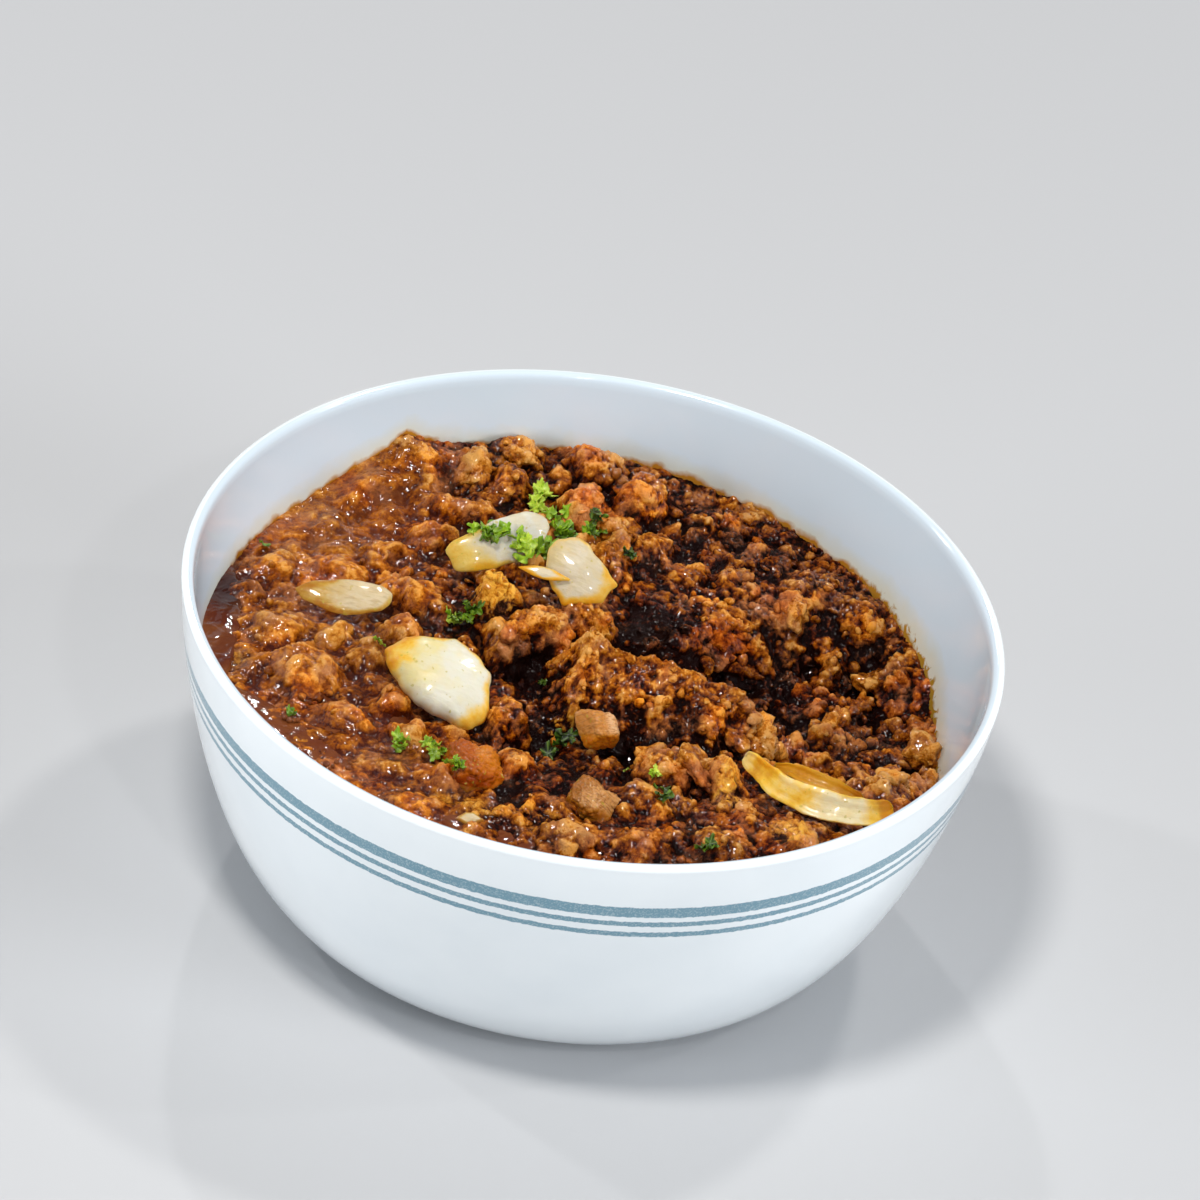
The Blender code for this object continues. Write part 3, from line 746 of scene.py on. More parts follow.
def meatMaterial():
    # painted shade: near black in the creases, red-brown flanks and tan tops, by how far each point stands out at three
    # scales
    made, tree, shader = newMaterial("groundMeat")
    coords = addNode(tree, "ShaderNodeTexCoord").outputs["Object"]
    rise, tint, place, wet = (addAttribute(tree, name) for name in ("rise", "tint", "level", "wet"))
    wide = addNoise(tree, coords, 62.0, 2.0)
    broad = addNoise(tree, coords, 110.0, 2.0)
    mottle = addNoise(tree, coords, 760.0, 3.0, 0.6, 0.6)
    fine = addNoise(tree, coords, 2200.0, 3.0, 0.65)
    # grain cracks and low points painted darker as shade through rise and level
    level = addMath(tree, "ADD", addRange(tree, rise, 0.15, 0.80, -0.30, 0.26), place)
    level = addMath(tree, "ADD", level, addRange(tree, mottle, 0.3, 0.7, -0.22, 0.22))
    level = addMath(tree, "ADD", level, addRange(tree, wide, 0.35, 0.65, -0.12, 0.06))
    level = addMath(tree, "ADD", level, addRange(tree, fine, 0.3, 0.7, -0.13, 0.13), clamp=True)
    level = addMath(tree, "ADD", addMath(tree, "MULTIPLY", level, addRange(tree, wet, 0.0, 1.0, 1.0, 0.62)),
                    addMath(tree, "MULTIPLY", wet, 0.42))
    body = colourRamp(tree, level, ((0.15, (0.006, 0.0006, 0.0002)), (1.0, (0.700, 0.340, 0.085)),
                                    (0.35, (0.066, 0.009, 0.0002)), (0.56, (0.215, 0.050, 0.0014)),
                                    (0.78, (0.425, 0.135, 0.008)), (0.90, (0.570, 0.225, 0.030))))
    golden = addMath(tree, "MULTIPLY", addRange(tree, broad, 0.40, 0.60), addRange(tree, tint, 0.1, 1.0, 0.2, 1.0))
    body = addMix(tree, golden, body, (1.30, 1.00, 0.35), "MULTIPLY")
    ruddy = addRange(tree, addNoise(tree, coords, 85.0, 2.0, 0.5, 0.5), 0.54, 0.66, 0.0, 0.7)
    ruddy = addMath(tree, "MULTIPLY", ruddy, addRange(tree, wet, 0.0, 1.0, 1.0, 0.3))
    body = addMix(tree, ruddy, body, (0.95, 0.58, 0.60), "MULTIPLY")
    pink = addRange(tree, addNoise(tree, coords, 170.0, 2.0), 0.54, 0.66, 0.0, 0.55)
    body = addMix(tree, addMath(tree, "MULTIPLY", pink, level), body, (0.46, 0.185, 0.075))
    gold = addMath(tree, "MULTIPLY", addAttribute(tree, "gold"), addRange(tree, level, 0.30, 0.75))
    body = addMix(tree, gold, body, addMix(tree, addRange(tree, mottle, 0.4, 0.6), (0.56, 0.180, 0.004), (0.90, 0.460, 0.055)))
    tree.links.new(body, shader.inputs["Base Color"])
    patchy = addNoise(tree, coords, 300.0, 3.0)
    gloss = addMath(tree, "MULTIPLY", addRange(tree, patchy, 0.38, 0.52), addRange(tree, level, 0.15, 0.50, 0.15, 1.0))
    gloss = addMath(tree, "ADD", gloss, addMath(tree, "MULTIPLY", wet, 0.5), clamp=True)
    shader.inputs["Roughness"].default_value = 0.45
    shader.inputs["Specular IOR Level"].default_value = 0.04
    tree.links.new(addRange(tree, gloss, 0.0, 1.0, 0.06, 1.0), shader.inputs["Coat Weight"])
    shader.inputs["Coat Roughness"].default_value = 0.06
    shader.inputs["Coat IOR"].default_value = 1.42
    setBump(tree, shader, addMath(tree, "ADD", fine, mottle), 1.0, 0.0004)
    return made


def sauceMaterial():
    made, tree, shader = newMaterial("chiliSauce")
    coords = addNode(tree, "ShaderNodeTexCoord").outputs["Object"]
    broad = addNoise(tree, coords, 110.0, 3.0, 0.5, 0.8)
    wave = addNoise(tree, coords, 260.0, 2.0, 0.5, 0.5)
    colour = addMix(tree, addRange(tree, broad, 0.36, 0.64), (0.105, 0.017, 0.003), (0.185, 0.052, 0.013))
    colour = addMix(tree, addRange(tree, wave, 0.56, 0.70, 0.0, 0.5), colour, (0.215, 0.070, 0.018))
    # painted shade in the sauce's creases and pits
    colour = addMix(tree, addAttribute(tree, "sauceShade"), colour, (0.024, 0.0030, 0.0008))
    tree.links.new(colour, shader.inputs["Base Color"])
    shader.inputs["Roughness"].default_value = 0.06
    setBump(tree, shader, wave, 0.7, 0.0010)
    return made


# ---- onion, tomato ----

def sunkShare(points):
    # 1 where a piece dips into the meat, fading out a little above it
    return smoothStep(1.6, -0.4, points[:, 2] - readMap(nearTop, points[:, 0], points[:, 1]))


def placed(points, centre, turn):
    spin = np.array(Euler([math.radians(v) for v in turn]).to_matrix())
    return points @ spin.T + np.array(centre)


def blockPiece(name, size, planes, centre, turn, material, rough=0.10, sharp=16.0, rows=90, columns=128):
    # distance from the centre is a soft minimum of distances to named planes, in units of half the size
    d = sphereDirections(rows, columns)
    faces = np.array(planes, float)
    normals = faces[:, :3] / np.linalg.norm(faces[:, :3], axis=1)[:, None]
    facing = d @ normals.T
    hit = faces[None, :, 3] / np.maximum(facing, 0.05)
    reach = np.sum(hit ** -sharp, axis=1) ** (-1 / sharp)
    points = d * reach[:, None] * 0.5 * np.array(size)
    points += d * (rough * layeredNoise(points + 20.0, 3.0, 4, 3 + len(name)))[:, None]
    points += d * (0.5 * rough * (grains(points + 7.0, 1.3, len(name)) - 0.5))[:, None]
    quads, tris = ringFaces(rows, columns)
    world = placed(points, centre, turn)
    stain = smoothStep(0.0, 0.7, -d[:, 1] - 0.4 * d[:, 2])
    piece = makePiece(name, world, quads, tris, dict(stain=stain, along=points[:, 0] / size[0], across=points[:, 1] / size[1],
                                                     sunk=sunkShare(world)), [name])
    piece.data.materials.append(material)


def cutOutline(theta, corners):
    # straight cuts from corner to corner: 1 / reach = (sin(b - t) / reachA + sin(t - a) / reachB) / sin(b - a)
    turn = np.array(sorted(corners), float)
    inverse = 1 / np.array([corners[k] for k in sorted(corners)])
    turn, inverse = np.radians(np.append(turn, turn[0] + 360)), np.append(inverse, inverse[0])
    t = np.where(theta < turn[0], theta + 2 * math.pi, theta)
    k = np.clip(np.searchsorted(turn, t, side="right") - 1, 0, len(turn) - 2)
    return np.sin(turn[k + 1] - turn[k]) / (np.sin(turn[k + 1] - t) * inverse[k] + np.sin(t - turn[k]) * inverse[k + 1])


def petalPiece(name, corners, stains, thickness, crown, bend, centre, turn, material, node=None, rows=30, columns=120):
    # a flat outline through rounded corners (angle: reach); its face domed by sqrt(1 - share^crown) and bowed by bend,
    # closed with an equal lower face; stains say how far in from the margin the colour reaches (angle: share)
    theta = 2 * math.pi * np.arange(columns) / columns
    width = np.interp(np.degrees(theta), sorted(stains), [stains[k] for k in sorted(stains)], period=360)
    reach = cutOutline(theta, corners)
    reach = (np.roll(reach, 1) + 2 * reach + np.roll(reach, -1)) / 4
    around = np.stack([reach * np.cos(theta), reach * np.sin(theta), 0 * theta + 3.0 * len(name)], 1)
    reach = reach * (1 + 0.045 * layeredNoise(around, 3.2, 3, 12))
    r = 1 - (1 - np.linspace(0, 1, rows + 1)[1:]) ** 1.5
    r = np.concatenate([r, r[::-1][1:]])
    side = np.concatenate([np.ones(rows), -np.ones(rows - 1)])
    rr, tt = np.meshgrid(r, theta, indexing="ij")
    x, y = rr * reach * np.cos(tt), rr * reach * np.sin(tt)
    thick = 0.5 * thickness * np.sqrt(np.clip(1 - rr ** crown, 0, 1))
    flat = np.stack([x.ravel(), y.ravel(), 0 * x.ravel()], 1)
    ripple = 0.10 * layeredNoise(flat * (0.25, 1, 1) + 30.0, 1.6, 2, len(name)) + 0.34 * layeredNoise(flat + 8, 6.0, 2, 4)
    z = side[:, None] * thick + bend[0] * x * x + bend[1] * y * y + ripple.reshape(x.shape)
    ring = np.stack([x, y, z], -1).reshape(-1, 3)
    middle = 0.34 * layeredNoise(np.array([[8.0, 8, 8]]), 6.0, 2, 4)[0]
    points = np.concatenate([[[0, 0, 0.5 * thickness + middle]], ring, [[0, 0, middle - 0.5 * thickness]]])
    stain = smoothStep(1 - 1.7 * width, 1 - 0.25 * width, rr) * np.clip(width / 0.18, 0.1, 1)
    stain = np.concatenate([[0], stain.ravel(), [0]])
    quads, tris = ringFaces(2 * rows - 1, columns)
    world = placed(points, centre, turn)
    values = dict(stain=stain, along=points[:, 0] / 20, across=points[:, 1] / 20, sunk=sunkShare(world))
    piece = makePiece(name, world, quads, tris, values, [node] if node else [])
    piece.data.materials.append(material)


def ribbonPiece(name, path, widths, lean, stains, thickness, material, node=None, columns=40, steps=110):
    # a rounded flat section carried along a smooth line through the path's points, its long side leaning back;
    # stains give the colour's strength along it, with its two long edges always stained
    path, t = np.array(path, float), np.linspace(0, 1, steps)
    knots = np.linspace(0, 1, len(path))
    line = np.stack([np.interp(t, knots, path[:, k]) for k in range(3)], 1)
    w = np.hanning(23) / np.hanning(23).sum()
    pad = np.concatenate([2 * line[:1] - line[1:12][::-1], line, 2 * line[-1:] - line[-12:-1][::-1]])
    line = np.stack([np.convolve(pad[:, k], w, "valid") for k in range(3)], 1)
    ahead = np.gradient(line, axis=0)
    ahead /= np.linalg.norm(ahead, axis=1)[:, None]
    side = np.cross(ahead, (0, 0, 1.0))
    side /= np.linalg.norm(side, axis=1)[:, None]
    rise = np.cross(side, ahead)
    a = np.radians(np.interp(t, knots, lean))[:, None]
    tall, thin = rise * np.cos(a) - side * np.sin(a), side * np.cos(a) + rise * np.sin(a)
    width = np.interp(t, knots, widths) * np.clip(1 - (2 * t - 1) ** 14, 0, 1) ** 0.5
    v = 2 * math.pi * np.arange(columns) / columns
    p = np.sign(np.cos(v)) * np.abs(np.cos(v)) ** 0.8
    q = np.sign(np.sin(v)) * np.abs(np.sin(v)) ** 0.5
    ripple = 0.10 * np.sin(9 * p[None, :] + 5 * t[:, None])
    cup = 0.9 * p[None, :] ** 2
    ring = (line[:, None, :] + tall[:, None, :] * (0.5 * width[:, None] * p)[:, :, None]
            + thin[:, None, :] * (0.5 * thickness * q[None, :] * (0.3 + 0.7 * width / max(widths))[:, None] + cup + ripple)[:, :, None])
    ring = ring.reshape(-1, 3)
    ring += 0.22 * np.stack([layeredNoise(ring + 9 * k, 2.4, 2, 15 + k) for k in range(3)], 1)
    points = np.concatenate([line[:1], ring, line[-1:]])
    strength = np.interp(t, np.linspace(0, 1, len(stains)), stains)
    stain = np.concatenate([[1], np.maximum(strength[:, None], 0.8 * np.abs(p)[None, :] ** 5).ravel(), [1]])
    across = np.concatenate([[0], np.tile(p, steps), [0]])
    values = dict(stain=stain, along=np.concatenate([[0], np.repeat(t, columns), [1]]), across=0.3 * across,
                  sunk=sunkShare(points))
    quads, tris = ringFaces(steps, columns)
    piece = makePiece(name, points, quads[:, ::-1], tris[:, ::-1], values, [node] if node else [])
    piece.data.materials.append(material)


# each plane: direction x, y, z, distance in half sizes
dicePlanes = ((1, 0.1, 0.2, 0.9), (-1, 0, 0.3, 0.86), (0.2, 1, 0.2, 0.9), (-0.1, -1, 0.3, 0.88), (0.1, 0.1, 1, 0.78),
              (0, 0, -1, 0.9), (0.8, -0.7, 0.5, 0.92))
# pale flesh, deeper flesh, yellow stain, orange stain; share of light let in, strength of the veins, where along the
# piece the colour turns from the deeper to the pale tone
onionTones = dict(
    chunk=((0.66, 0.63, 0.52), (0.67, 0.57, 0.28), (0.76, 0.47, 0.045), (0.70, 0.27, 0.003), 0.40, 0.08, -0.12),
    petalA=((0.56, 0.54, 0.47), (0.58, 0.46, 0.22), (0.62, 0.44, 0.09), (0.58, 0.30, 0.015), 0.35, 0.14, -0.22),
    petalB=((0.56, 0.48, 0.34), (0.54, 0.42, 0.21), (0.64, 0.38, 0.045), (0.60, 0.25, 0.004), 0.35, 0.22, -0.20),
    slice=((0.58, 0.47, 0.30), (0.50, 0.35, 0.14), (0.46, 0.27, 0.03), (0.34, 0.12, 0.006), 0.35, 0.40, -0.10),
    curl=((0.78, 0.67, 0.42), (0.78, 0.56, 0.17), (0.80, 0.48, 0.030), (0.60, 0.23, 0.002), 0.35, 0.14, 0.30),
    inner=((0.56, 0.31, 0.04), (0.48, 0.21, 0.015), (0.56, 0.25, 0.008), (0.40, 0.13, 0.002), 0.25, 0.30, 0.40),
    diceA=((0.66, 0.38, 0.19), (0.50, 0.20, 0.04), (0.54, 0.19, 0.008), (0.42, 0.10, 0.002), 0.35, 0.80, 0.0),
    diceB=((0.52, 0.25, 0.08), (0.34, 0.12, 0.015), (0.38, 0.13, 0.006), (0.24, 0.06, 0.001), 0.25, 0.80, 0.0),
    tomato=((0.50, 0.150, 0.005), (0.36, 0.075, 0.002), (0.42, 0.095, 0.002), (0.24, 0.032, 0.001), 0.15, 0.50, 0.0),
)


def onionMaterial(name, pale, deepTone, yellow, orange, clear, lines, turnAt):
    # flesh with fine veins along its length, stained yellow and then orange where its stain is strong, brown where sunk
    made, tree, shader = newMaterial(name)
    coords = addNode(tree, "ShaderNodeTexCoord").outputs["Object"]
    along, across = addAttribute(tree, "along"), addAttribute(tree, "across")
    combined = addNode(tree, "ShaderNodeCombineXYZ", {0: addMath(tree, "MULTIPLY", along, 0.22), 1: across, 2: 0.0}).outputs[0]
    veins = addNoise(tree, combined, 26.0, 2.0, 0.5, 0.6)
    blotch = addNoise(tree, coords, 240.0, 3.0, 0.55)
    share = addMath(tree, "ADD", addRange(tree, blotch, 0.36, 0.64, -0.35, 0.35), addRange(tree, along, turnAt - 0.12, turnAt + 0.12),
                    clamp=True)
    body = addMix(tree, share, deepTone, pale)
    body = addMix(tree, addRange(tree, veins, 0.50, 0.62, 0.0, lines), body, tuple(0.66 * c for c in deepTone))
    patch = addNoise(tree, coords, 170.0, 4.0, 0.65)
    stain = addMath(tree, "ADD", addAttribute(tree, "stain"), addRange(tree, patch, 0.3, 0.7, -0.42, 0.30))
    body = addMix(tree, addRange(tree, stain, 0.05, 0.80, 0.0, 0.95, smooth=True), body, yellow)
    body = addMix(tree, addRange(tree, stain, 0.55, 1.15, 0.0, 0.95, smooth=True), body, orange)
    speck = addRange(tree, addNoise(tree, coords, 900.0, 1.0), 0.68, 0.74, 0.0, 0.6)
    body = addMix(tree, speck, body, (0.42, 0.34, 0.04))
    sunk = addMath(tree, "ADD", addAttribute(tree, "sunk"), addRange(tree, addNoise(tree, coords, 420.0, 3.0), 0.3, 0.7, -0.4, 0.4))
    body = addMix(tree, addRange(tree, sunk, 0.45, 1.0, 0.0, 0.9), body, (0.26, 0.085, 0.006))
    tree.links.new(body, shader.inputs["Base Color"])
    shader.inputs["Roughness"].default_value = 0.34
    shader.inputs["Specular IOR Level"].default_value = 0.22
    shader.inputs["Coat Weight"].default_value = 0.38
    shader.inputs["Coat Roughness"].default_value = 0.07
    shader.inputs["Subsurface Weight"].default_value = clear
    shader.inputs["Subsurface Radius"].default_value = (1.0, 0.7, 0.35)
    shader.inputs["Subsurface Scale"].default_value = 0.0022
    setBump(tree, shader, addMath(tree, "ADD", veins, addNoise(tree, coords, 1400.0, 2.0)), 0.25, 0.0003)
    return made


def buildToppings():
    skins = {key: onionMaterial(("tomato" if key == "tomato" else "onion") + "Flesh_" + key, *tones)
             for key, tones in onionTones.items()}
    petalPiece("onion_chunk", {170: 13.4, 150: 12.2, 137: 10.9, 112: 9.8, 98: 10.1, 64: 9.3, 36: 9.9, 8: 9.7, 352: 10.7, 338: 11.0, 324: 11.0,
                               312: 9.4, 285: 7.0, 250: 6.8, 214: 8.0, 190: 10.6},
               {0: 0.15, 40: 0.10, 64: 0.20, 98: 0.08, 112: 0.18, 135: 0.10, 158: 0.36, 175: 0.40, 192: 0.14, 210: 0.06, 260: 0.04,
                290: 0.05, 312: 0.12, 330: 0.26, 348: 0.20}, 5.2, 6.0, (-0.015, -0.020), (-26.3, -12.6, 52.0), (26, 7, -12), skins["chunk"],
               "onion_chunk", rows=40, columns=160)
    blockPiece("onion_dice_a", (7.4, 6.8, 5.6), dicePlanes, (5.2, -16.2, 50.3), (38, 6, 34), skins["diceA"], 0.40, 7.0)
    blockPiece("onion_dice_b", (9.4, 7.4, 5.4), dicePlanes, (5.2, -38.2, 49.3), (30, -10, -34), skins["diceB"], 0.66, 7.0)
    blockPiece("tomato_piece", (10.0, 9.6, 8.2), dicePlanes, (-17.2, -33.8, 49.0), (16, -6, 12), skins["tomato"], 0.75, 9.0)
    petalPiece("onion_petal_a", {10: 10.1, 21: 10.2, 41: 8.4, 71: 5.0, 112: 4.3, 146: 5.0, 170: 9.4, 181: 11.4, 190: 10.6, 203: 11.0,
                                 219: 8.0, 244: 5.8, 303: 5.1, 345: 7.6},
               {0: 0.06, 60: 0.06, 120: 0.08, 150: 0.25, 175: 0.50, 195: 0.6, 215: 0.45, 250: 0.2, 300: 0.08}, 1.2, 9.0,
               (-0.016, -0.030), (-19.6, 30.5, 55.9), (40, -4, 24), skins["petalA"], "onion_petal_a")
    petalPiece("onion_petal_b", {0: 7.0, 11: 8.3, 22: 6.6, 40: 5.5, 60: 5.1, 79: 5.2, 96: 6.4, 110: 7.0, 125: 7.4, 145: 7.9, 166: 7.3,
                                 194: 6.2, 233: 5.6, 258: 6.0, 270: 6.9, 285: 6.1, 300: 5.9, 324: 6.4, 336: 7.5, 348: 7.0},
               {0: 0.30, 12: 0.40, 25: 0.20, 50: 0.10, 100: 0.09, 140: 0.07, 190: 0.08, 230: 0.14, 265: 0.22, 300: 0.24, 335: 0.30}, 1.3, 9.0,
               (-0.022, -0.026), (-4.5, 23.4, 56.2), (44, 10, -12), skins["petalB"], "onion_petal_b")
    petalPiece("onion_slice", {2: 8.6, 18: 9.6, 32: 7.4, 58: 4.5, 101: 3.6, 148: 4.7, 166: 7.4, 180: 10.4, 192: 9.2, 206: 6.6, 232: 4.8,
                               275: 3.9, 318: 4.5, 346: 7.0},
               {0: 0.14, 60: 0.05, 120: 0.08, 160: 0.35, 184: 0.62, 205: 0.45, 240: 0.30, 280: 0.28, 320: 0.20}, 0.7, 9.0,
               (-0.014, -0.05), (-47.2, 11.2, 50.7), (30, 4, 4), skins["slice"], "onion_slice")
    petalPiece("onionStrip", {0: 5.6, 30: 2.2, 90: 1.2, 150: 2.2, 180: 5.4, 210: 2.1, 270: 1.2, 330: 2.2}, {0: 0.5, 90: 0.2, 180: 0.5, 270: 0.2},
               0.8, 6.0, (-0.01, 0), (-11.0, 21.5, 56.4), (36, 0, -6), skins["petalB"])
    petalPiece("onionBit", {0: 3.0, 60: 1.8, 120: 1.7, 180: 2.8, 240: 1.6, 300: 1.7}, {0: 0.3, 180: 0.4},
               1.2, 4.0, (-0.02, -0.02), (-16.6, -49.6, 48.2), (20, 0, 10), skins["slice"])
    ribbonPiece("onion_curl", ((33.6, -18.4, 50.9), (36.4, -22.6, 51.8), (40.0, -27.2, 52.0), (46.0, -30.2, 52.0),
                               (52.6, -31.2, 51.9), (58.4, -30.6, 51.7), (62.0, -28.0, 51.9)), (3.6, 4.2, 4.8, 5.6, 5.6, 5.0, 3.2),
                (30, 34, 38, 40, 42, 42, 40), (0.25, 0.45, 1.05, 1.00, 0.55, 0.70, 0.55, 0.15, 0.08, 0.12, 0.80, 1.05, 1.1), 1.9,
                skins["curl"], "onion_curl")
    ribbonPiece("onionCurlLayer", ((39.0, -22.6, 53.2), (44.6, -25.4, 54.2), (50.6, -27.0, 53.8), (56.4, -27.4, 52.2)),
                (2.0, 3.0, 3.0, 1.6), (36, 40, 42, 42), (0.6, 0.8, 0.5, 0.8, 1.0), 0.9, skins["inner"])


bubbleSpots = dict(poolFront=(-42.1, -37.3, 46.2, 6, 1.7), poolSide=(-52.7, -25.4, 46.2, 5, 1.5))  # x, y, z, count, spread


def buildBubbles(material):
    # each bubble is a sphere a third sunk in the sauce
    local = np.random.default_rng(8)
    centres, radii = [], []
    for x, y, z, count, spread in bubbleSpots.values():
        away = local.normal(0, 1, (count, 2)) * spread * np.array([0.8, 0.6])
        size = local.uniform(0.30, 0.80, count)
        centres.append(np.stack([x + away[:, 0], y + away[:, 1], z - 0.10 * size], 1))
        radii.append(size)
    centres, radii = np.concatenate(centres), np.concatenate(radii)
    d = sphereDirections(12, 20)
    points = (centres[:, None, :] + radii[:, None, None] * d[None]).reshape(-1, 3)
    quads, tris = ringFaces(12, 20)
    offset = (np.arange(len(centres)) * len(d))[:, None, None]
    piece = makePiece("sauceBubbles", points, (quads[None] + offset).reshape(-1, 4), (tris[None] + offset).reshape(-1, 3), {})
    piece.data.materials.append(material)


# ---- parsley ----

def leaflets(name, centres, turns, sizes, tones, material, rows=7, columns=36):
    # a lobed, ruffled leaf: its upper face out to the margin, then its lower face back to the middle
    r = np.concatenate([np.linspace(0, 1, rows + 1)[1:], np.linspace(1, 0, rows + 1)[:-1]])
    upper = np.concatenate([np.ones(rows), -np.ones(rows)])
    theta = 2 * math.pi * np.arange(columns) / columns
    rr, tt = np.meshgrid(r, theta, indexing="ij")
    side = np.repeat(upper, columns).reshape(rr.shape)
    local = np.random.default_rng(5)
    clouds = []
    for centre, turn, size in zip(centres, turns, sizes):
        p1, p2, ruffle = local.uniform(0, 6.28, 3)
        lobes = 0.52 + 0.34 * np.abs(np.cos(2.5 * tt + 0.3 * np.sin(p1))) ** 1.4 + 0.16 * np.cos(tt)
        teeth = 0.07 * np.cos(13 * tt + p2)
        reach = rr * (lobes + teeth * rr ** 3)
        x, y = reach * np.cos(tt) * 1.15, reach * np.sin(tt) * 0.85
        z = rr ** 2 * (0.20 * np.sin(5 * tt + p1) + 0.10 * np.sin(8 * tt + ruffle)) + 0.22 * x * x - 0.10
        z = z + side * 0.05 * np.sqrt(np.clip(1.05 - rr ** 2, 0, 1))
        ring = np.stack([x, y, z], -1).reshape(-1, 3)
        cloud = np.concatenate([[[0, 0, -0.05]], ring, [[0, 0, -0.15]]]) * size
        clouds.append(placed(cloud, centre, turn))
    each = len(clouds[0])
    quads, tris = ringFaces(2 * rows, columns)
    offset = (np.arange(len(clouds)) * each)[:, None, None]
    ribs = np.concatenate([[1], np.abs(np.cos(2.5 * tt)).ravel(), [1]])
    values = dict(tone=np.repeat(tones, each), rib=np.tile(ribs, len(clouds)))
    piece = makePiece(name, np.concatenate(clouds), (quads[None] + offset).reshape(-1, 4), (tris[None] + offset).reshape(-1, 3),
                      values)
    piece.data.materials.append(material)


# sprigs: x, y, z of the middle, spread along and across, turn, leaflets, leaf size, tone from dark to bright
sprigs = dict(
    topSprig=(-14.6, 56.6, 47.5, 1.8, 4.0, 0, 7, 2.3, 1.15), petalLeft=(-22.4, 30.0, 57.9, 4.0, 2.4, -20, 10, 2.5, 0.60),
    petalMiddle=(-16.0, 30.1, 56.0, 4.0, 2.8, 0, 12, 2.4, 0.72), petalRight=(-11.5, 41.2, 47.0, 2.6, 2.0, 0, 5, 2.0, 0.55),
    petalBack=(-9.4, 46.3, 48.9, 4.6, 3.0, 30, 13, 2.3, 0.58), petalFar=(-3.2, 49.8, 48.8, 2.2, 2.6, 20, 6, 2.3, 0.25),
    gapSprig=(-23.4, 14.2, 49.3, 2.4, 3.6, -30, 9, 2.1, 0.40), gapTip=(-26.6, 14.5, 45.9, 1.4, 1.6, 0, 3, 1.9, 0.85),
    frontSpray=(-25.6, -29.4, 47.7, 4.6, 1.3, -25, 9, 1.7, 0.65), frontSprayTip=(-20.6, -37.6, 51.8, 1.2, 2.6, 30, 4, 1.6, 0.60),
    frontSprayEnd=(-31.6, -28.5, 48.4, 1.8, 1.2, 0, 4, 1.6, 0.75), darkSpray=(-2.8, -16.6, 43.5, 1.6, 3.4, -30, 6, 2.0, 0.02),
    brightBit=(16.6, -28.0, 50.0, 1.2, 0.8, 0, 4, 1.3, 0.90), darkLeaf=(18.4, -35.0, 50.2, 0.7, 2.0, 15, 3, 2.2, 0.30),
    yellowBit=(11.2, -22.6, 45.3, 0.4, 0.8, 0, 1, 1.2, 1.0), lipLeaf=(29.0, -47.4, 50.1, 1.6, 0.7, 5, 3, 1.9, 0.30),
    smallBit=(-39.2, -0.7, 48.8, 1.0, 0.4, 0, 2, 1.2, 0.85), poolBit=(-53.6, -23.7, 46.0, 0.8, 0.4, 0, 2, 1.1, 0.35),
    edgeBit=(-7.6, 1.2, 45.5, 1.0, 1.2, 0, 2, 1.3, 0.25), backBit=(-65.0, 27.8, 47.0, 0.8, 0.4, 0, 1, 1.2, 0.5),
    hollowBit=(4.5, 42.4, 49.2, 1.2, 1.8, 0, 3, 1.8, 0.05),
)


def buildParsley(material, broad):
    # no leaflet lies deeper than just above the heap
    local = np.random.default_rng(12)
    centres, turns, sizes, tones = [], [], [], []
    for x, y, z, spreadX, spreadY, turn, count, size, tone in sprigs.values():
        for k in range(count):
            a, b = local.normal(0, 0.5, 2)
            c, s = math.cos(math.radians(turn)), math.sin(math.radians(turn))
            px, py = x + spreadX * a * c - spreadY * b * s, y + spreadX * a * s + spreadY * b * c
            pz = max(z + local.uniform(-0.6, 0.8), float(readMap(broad, px, py)) + 1.3)
            centres.append((px, py, pz))
            turns.append((local.uniform(-45, 60), local.uniform(-45, 45), local.uniform(0, 360)))
            sizes.append(size * local.uniform(0.7, 1.15))
            tones.append(np.clip(tone + local.uniform(-0.2, 0.2), 0, 1))
    leaflets("parsleyLeaves", centres, turns, np.array(sizes), np.array(tones), material)


def parsleyMaterial():
    made, tree, shader = newMaterial("parsleyLeaf")
    coords = addNode(tree, "ShaderNodeTexCoord").outputs["Object"]
    tone, rib = addAttribute(tree, "tone"), addAttribute(tree, "rib")
    patch = addNoise(tree, coords, 700.0, 2.0)
    level = addMath(tree, "ADD", tone, addRange(tree, patch, 0.3, 0.7, -0.22, 0.22), clamp=True)
    body = colourRamp(tree, level, ((0.0, (0.006, 0.016, 0.001)), (1.0, (0.520, 0.680, 0.060)),
                                    (0.35, (0.045, 0.100, 0.002)), (0.7, (0.220, 0.370, 0.008))))
    body = addMix(tree, addRange(tree, rib, 0.85, 1.0, 0.0, 0.3), body, (0.30, 0.48, 0.06))
    tree.links.new(body, shader.inputs["Base Color"])
    shader.inputs["Roughness"].default_value = 0.34
    shader.inputs["Subsurface Weight"].default_value = 0.2
    shader.inputs["Subsurface Radius"].default_value = (0.4, 0.8, 0.1)
    shader.inputs["Subsurface Scale"].default_value = 0.0008
    setBump(tree, shader, addNoise(tree, coords, 2200.0, 2.0), 0.4, 0.0002)
    return made


# ---- camera, light and floor ----

view = dict(elevation=35.95, roll=9.95, distance=4000.0, lens=628.8, aimRight=1.05, aimUp=2.67)


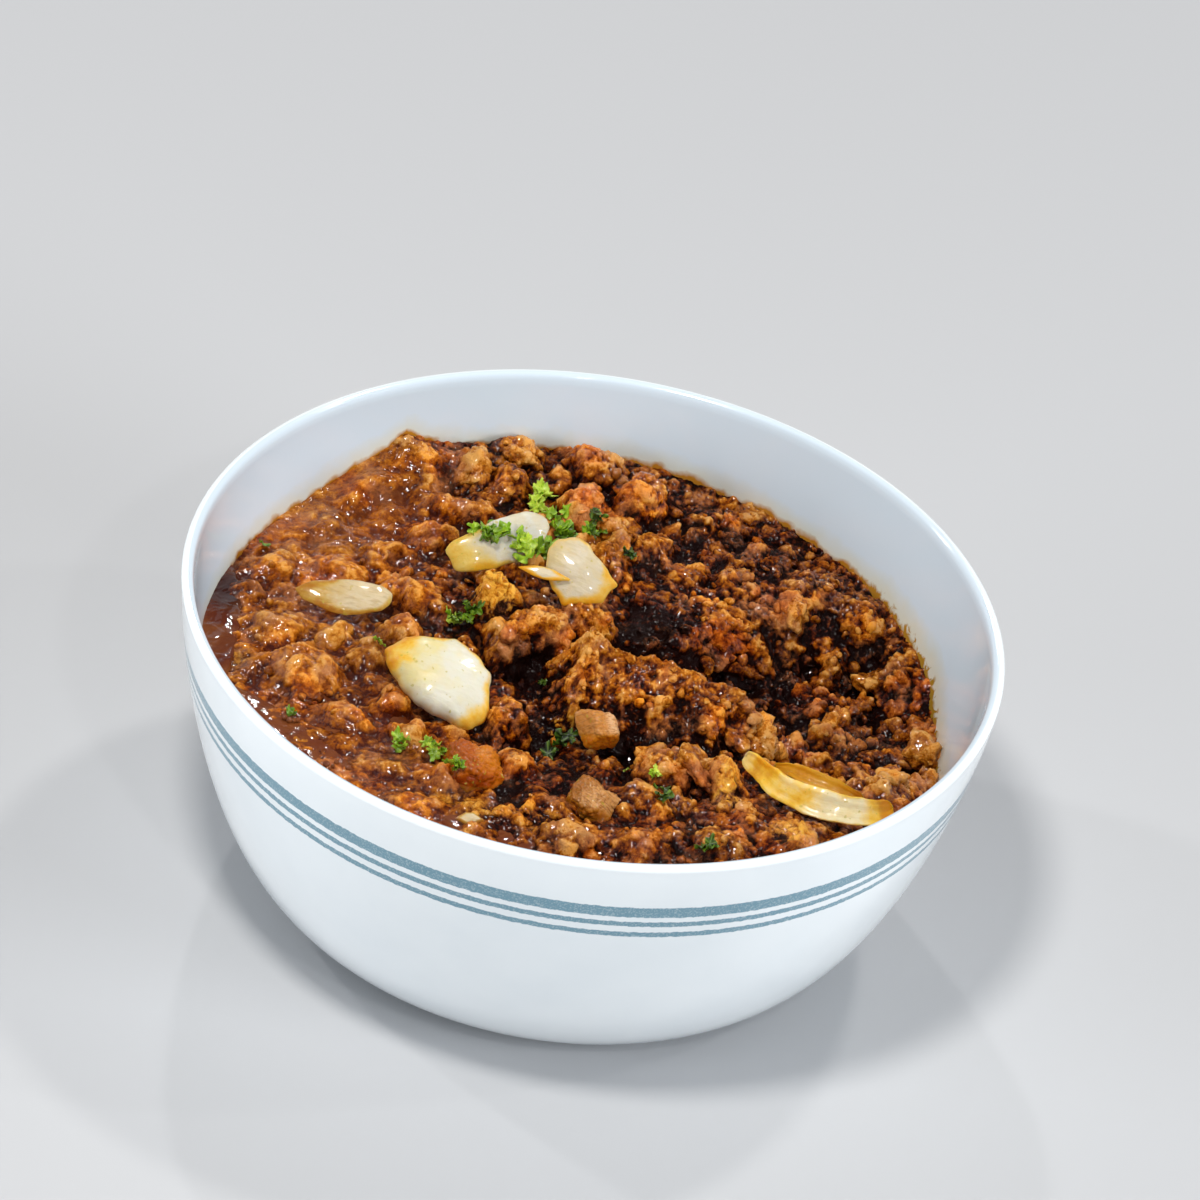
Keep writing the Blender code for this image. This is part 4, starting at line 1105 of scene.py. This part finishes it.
def placeCamera():
    e, r = math.radians(view["elevation"]), math.radians(view["roll"])
    back = Vector((0, -math.cos(e), math.sin(e)))
    level = Vector((1, 0, 0))
    rise = Vector((0, math.sin(e), math.cos(e)))
    right = math.cos(r) * level + math.sin(r) * rise
    up = -math.sin(r) * level + math.cos(r) * rise
    aim = Vector((0, 0, bowlShape["height"])) + right * view["aimRight"] + up * view["aimUp"]
    data = bpy.data.cameras.new("camera")
    data.lens = view["lens"]
    data.sensor_width = 36.0
    data.clip_start = 0.01
    camera = bpy.data.objects.new("camera", data)
    turn = Matrix((right, up, back)).transposed()
    camera.matrix_world = Matrix.Translation((aim + back * view["distance"]) * mm) @ turn.to_4x4()
    bpy.context.scene.collection.objects.link(camera)
    bpy.context.scene.camera = camera


# place in metres, width, power, colour, and whether glossy surfaces mirror it
lamps = dict(
    key=((-0.20, -0.38, 1.12), 0.18, 7.8, (1.0, 0.98, 0.94), True),
    fillLeft=((-1.25, -0.66, 0.22), 0.70, 12.4, (0.93, 0.97, 1.0), False),
    fillRight=((1.25, -0.52, 0.50), 0.70, 14.2, (0.93, 0.97, 1.0), False),
    glint=((0.45, 0.60, 1.20), 0.12, 4.0, (1.0, 0.98, 0.94), True),
    sparkBack=((-0.28, 1.10, 0.98), 0.05, 3.0, (1.0, 1.0, 1.0), True),
    sparkLeft=((-1.00, 0.35, 0.75), 0.05, 2.2, (1.0, 1.0, 1.0), True),
    sparkFront=((0.24, -0.85, 0.95), 0.05, 1.2, (1.0, 1.0, 1.0), True),
    sparkRight=((0.95, 0.10, 0.80), 0.05, 1.0, (1.0, 1.0, 1.0), True),
)


def addLights():
    for name, (place, size, power, colour, mirrored) in lamps.items():
        data = bpy.data.lights.new(name, "AREA")
        data.shape = "DISK"
        data.size = size
        data.energy = power
        data.color = colour
        lamp = bpy.data.objects.new(name, data)
        lamp.location = place
        lamp.visible_glossy = mirrored
        aim = Vector((0, 0, 0.05)) - Vector(place)
        lamp.rotation_euler = aim.to_track_quat("-Z", "Y").to_euler()
        bpy.context.scene.collection.objects.link(lamp)
    world = bpy.data.worlds.new("studio")
    world.use_nodes = True
    world.node_tree.nodes["Background"].inputs[0].default_value = (0.93, 0.96, 1.0, 1.0)
    world.node_tree.nodes["Background"].inputs[1].default_value = 0.18
    bpy.context.scene.world = world
    bpy.context.scene.view_settings.view_transform = "Standard"


def addFloor():
    bpy.ops.mesh.primitive_plane_add(size=6.0, location=(0, 0, -0.0002))
    floor = bpy.context.object
    floor.name = "floor"
    made, tree, shader = newMaterial("paleFloor")
    shader.inputs["Base Color"].default_value = (0.50, 0.505, 0.52, 1)
    shader.inputs["Roughness"].default_value = 0.8
    floor.data.materials.append(made)


placeCamera()
addLights()
addFloor()
meat = meatMaterial()
sauce = sauceMaterial()
buildBowl(bowlMaterial(), edgeLevel)
broad = heapMap()
print("heap worked out")
surfaces = coreSurfaces(broad) + looseLumps(broad) + [crumbSurfaces(broad)]
nearTop, farTop = blurred(broad, 1.6 / mapShape["cell"]), blurred(broad, 5.0 / mapShape["cell"])
for surface in surfaces:
    buildMeat(surface, nearTop, farTop, meat)
buildSauce(sauce, broad)
buildToppings()
buildBubbles(sauce)
buildParsley(parsleyMaterial(), broad)
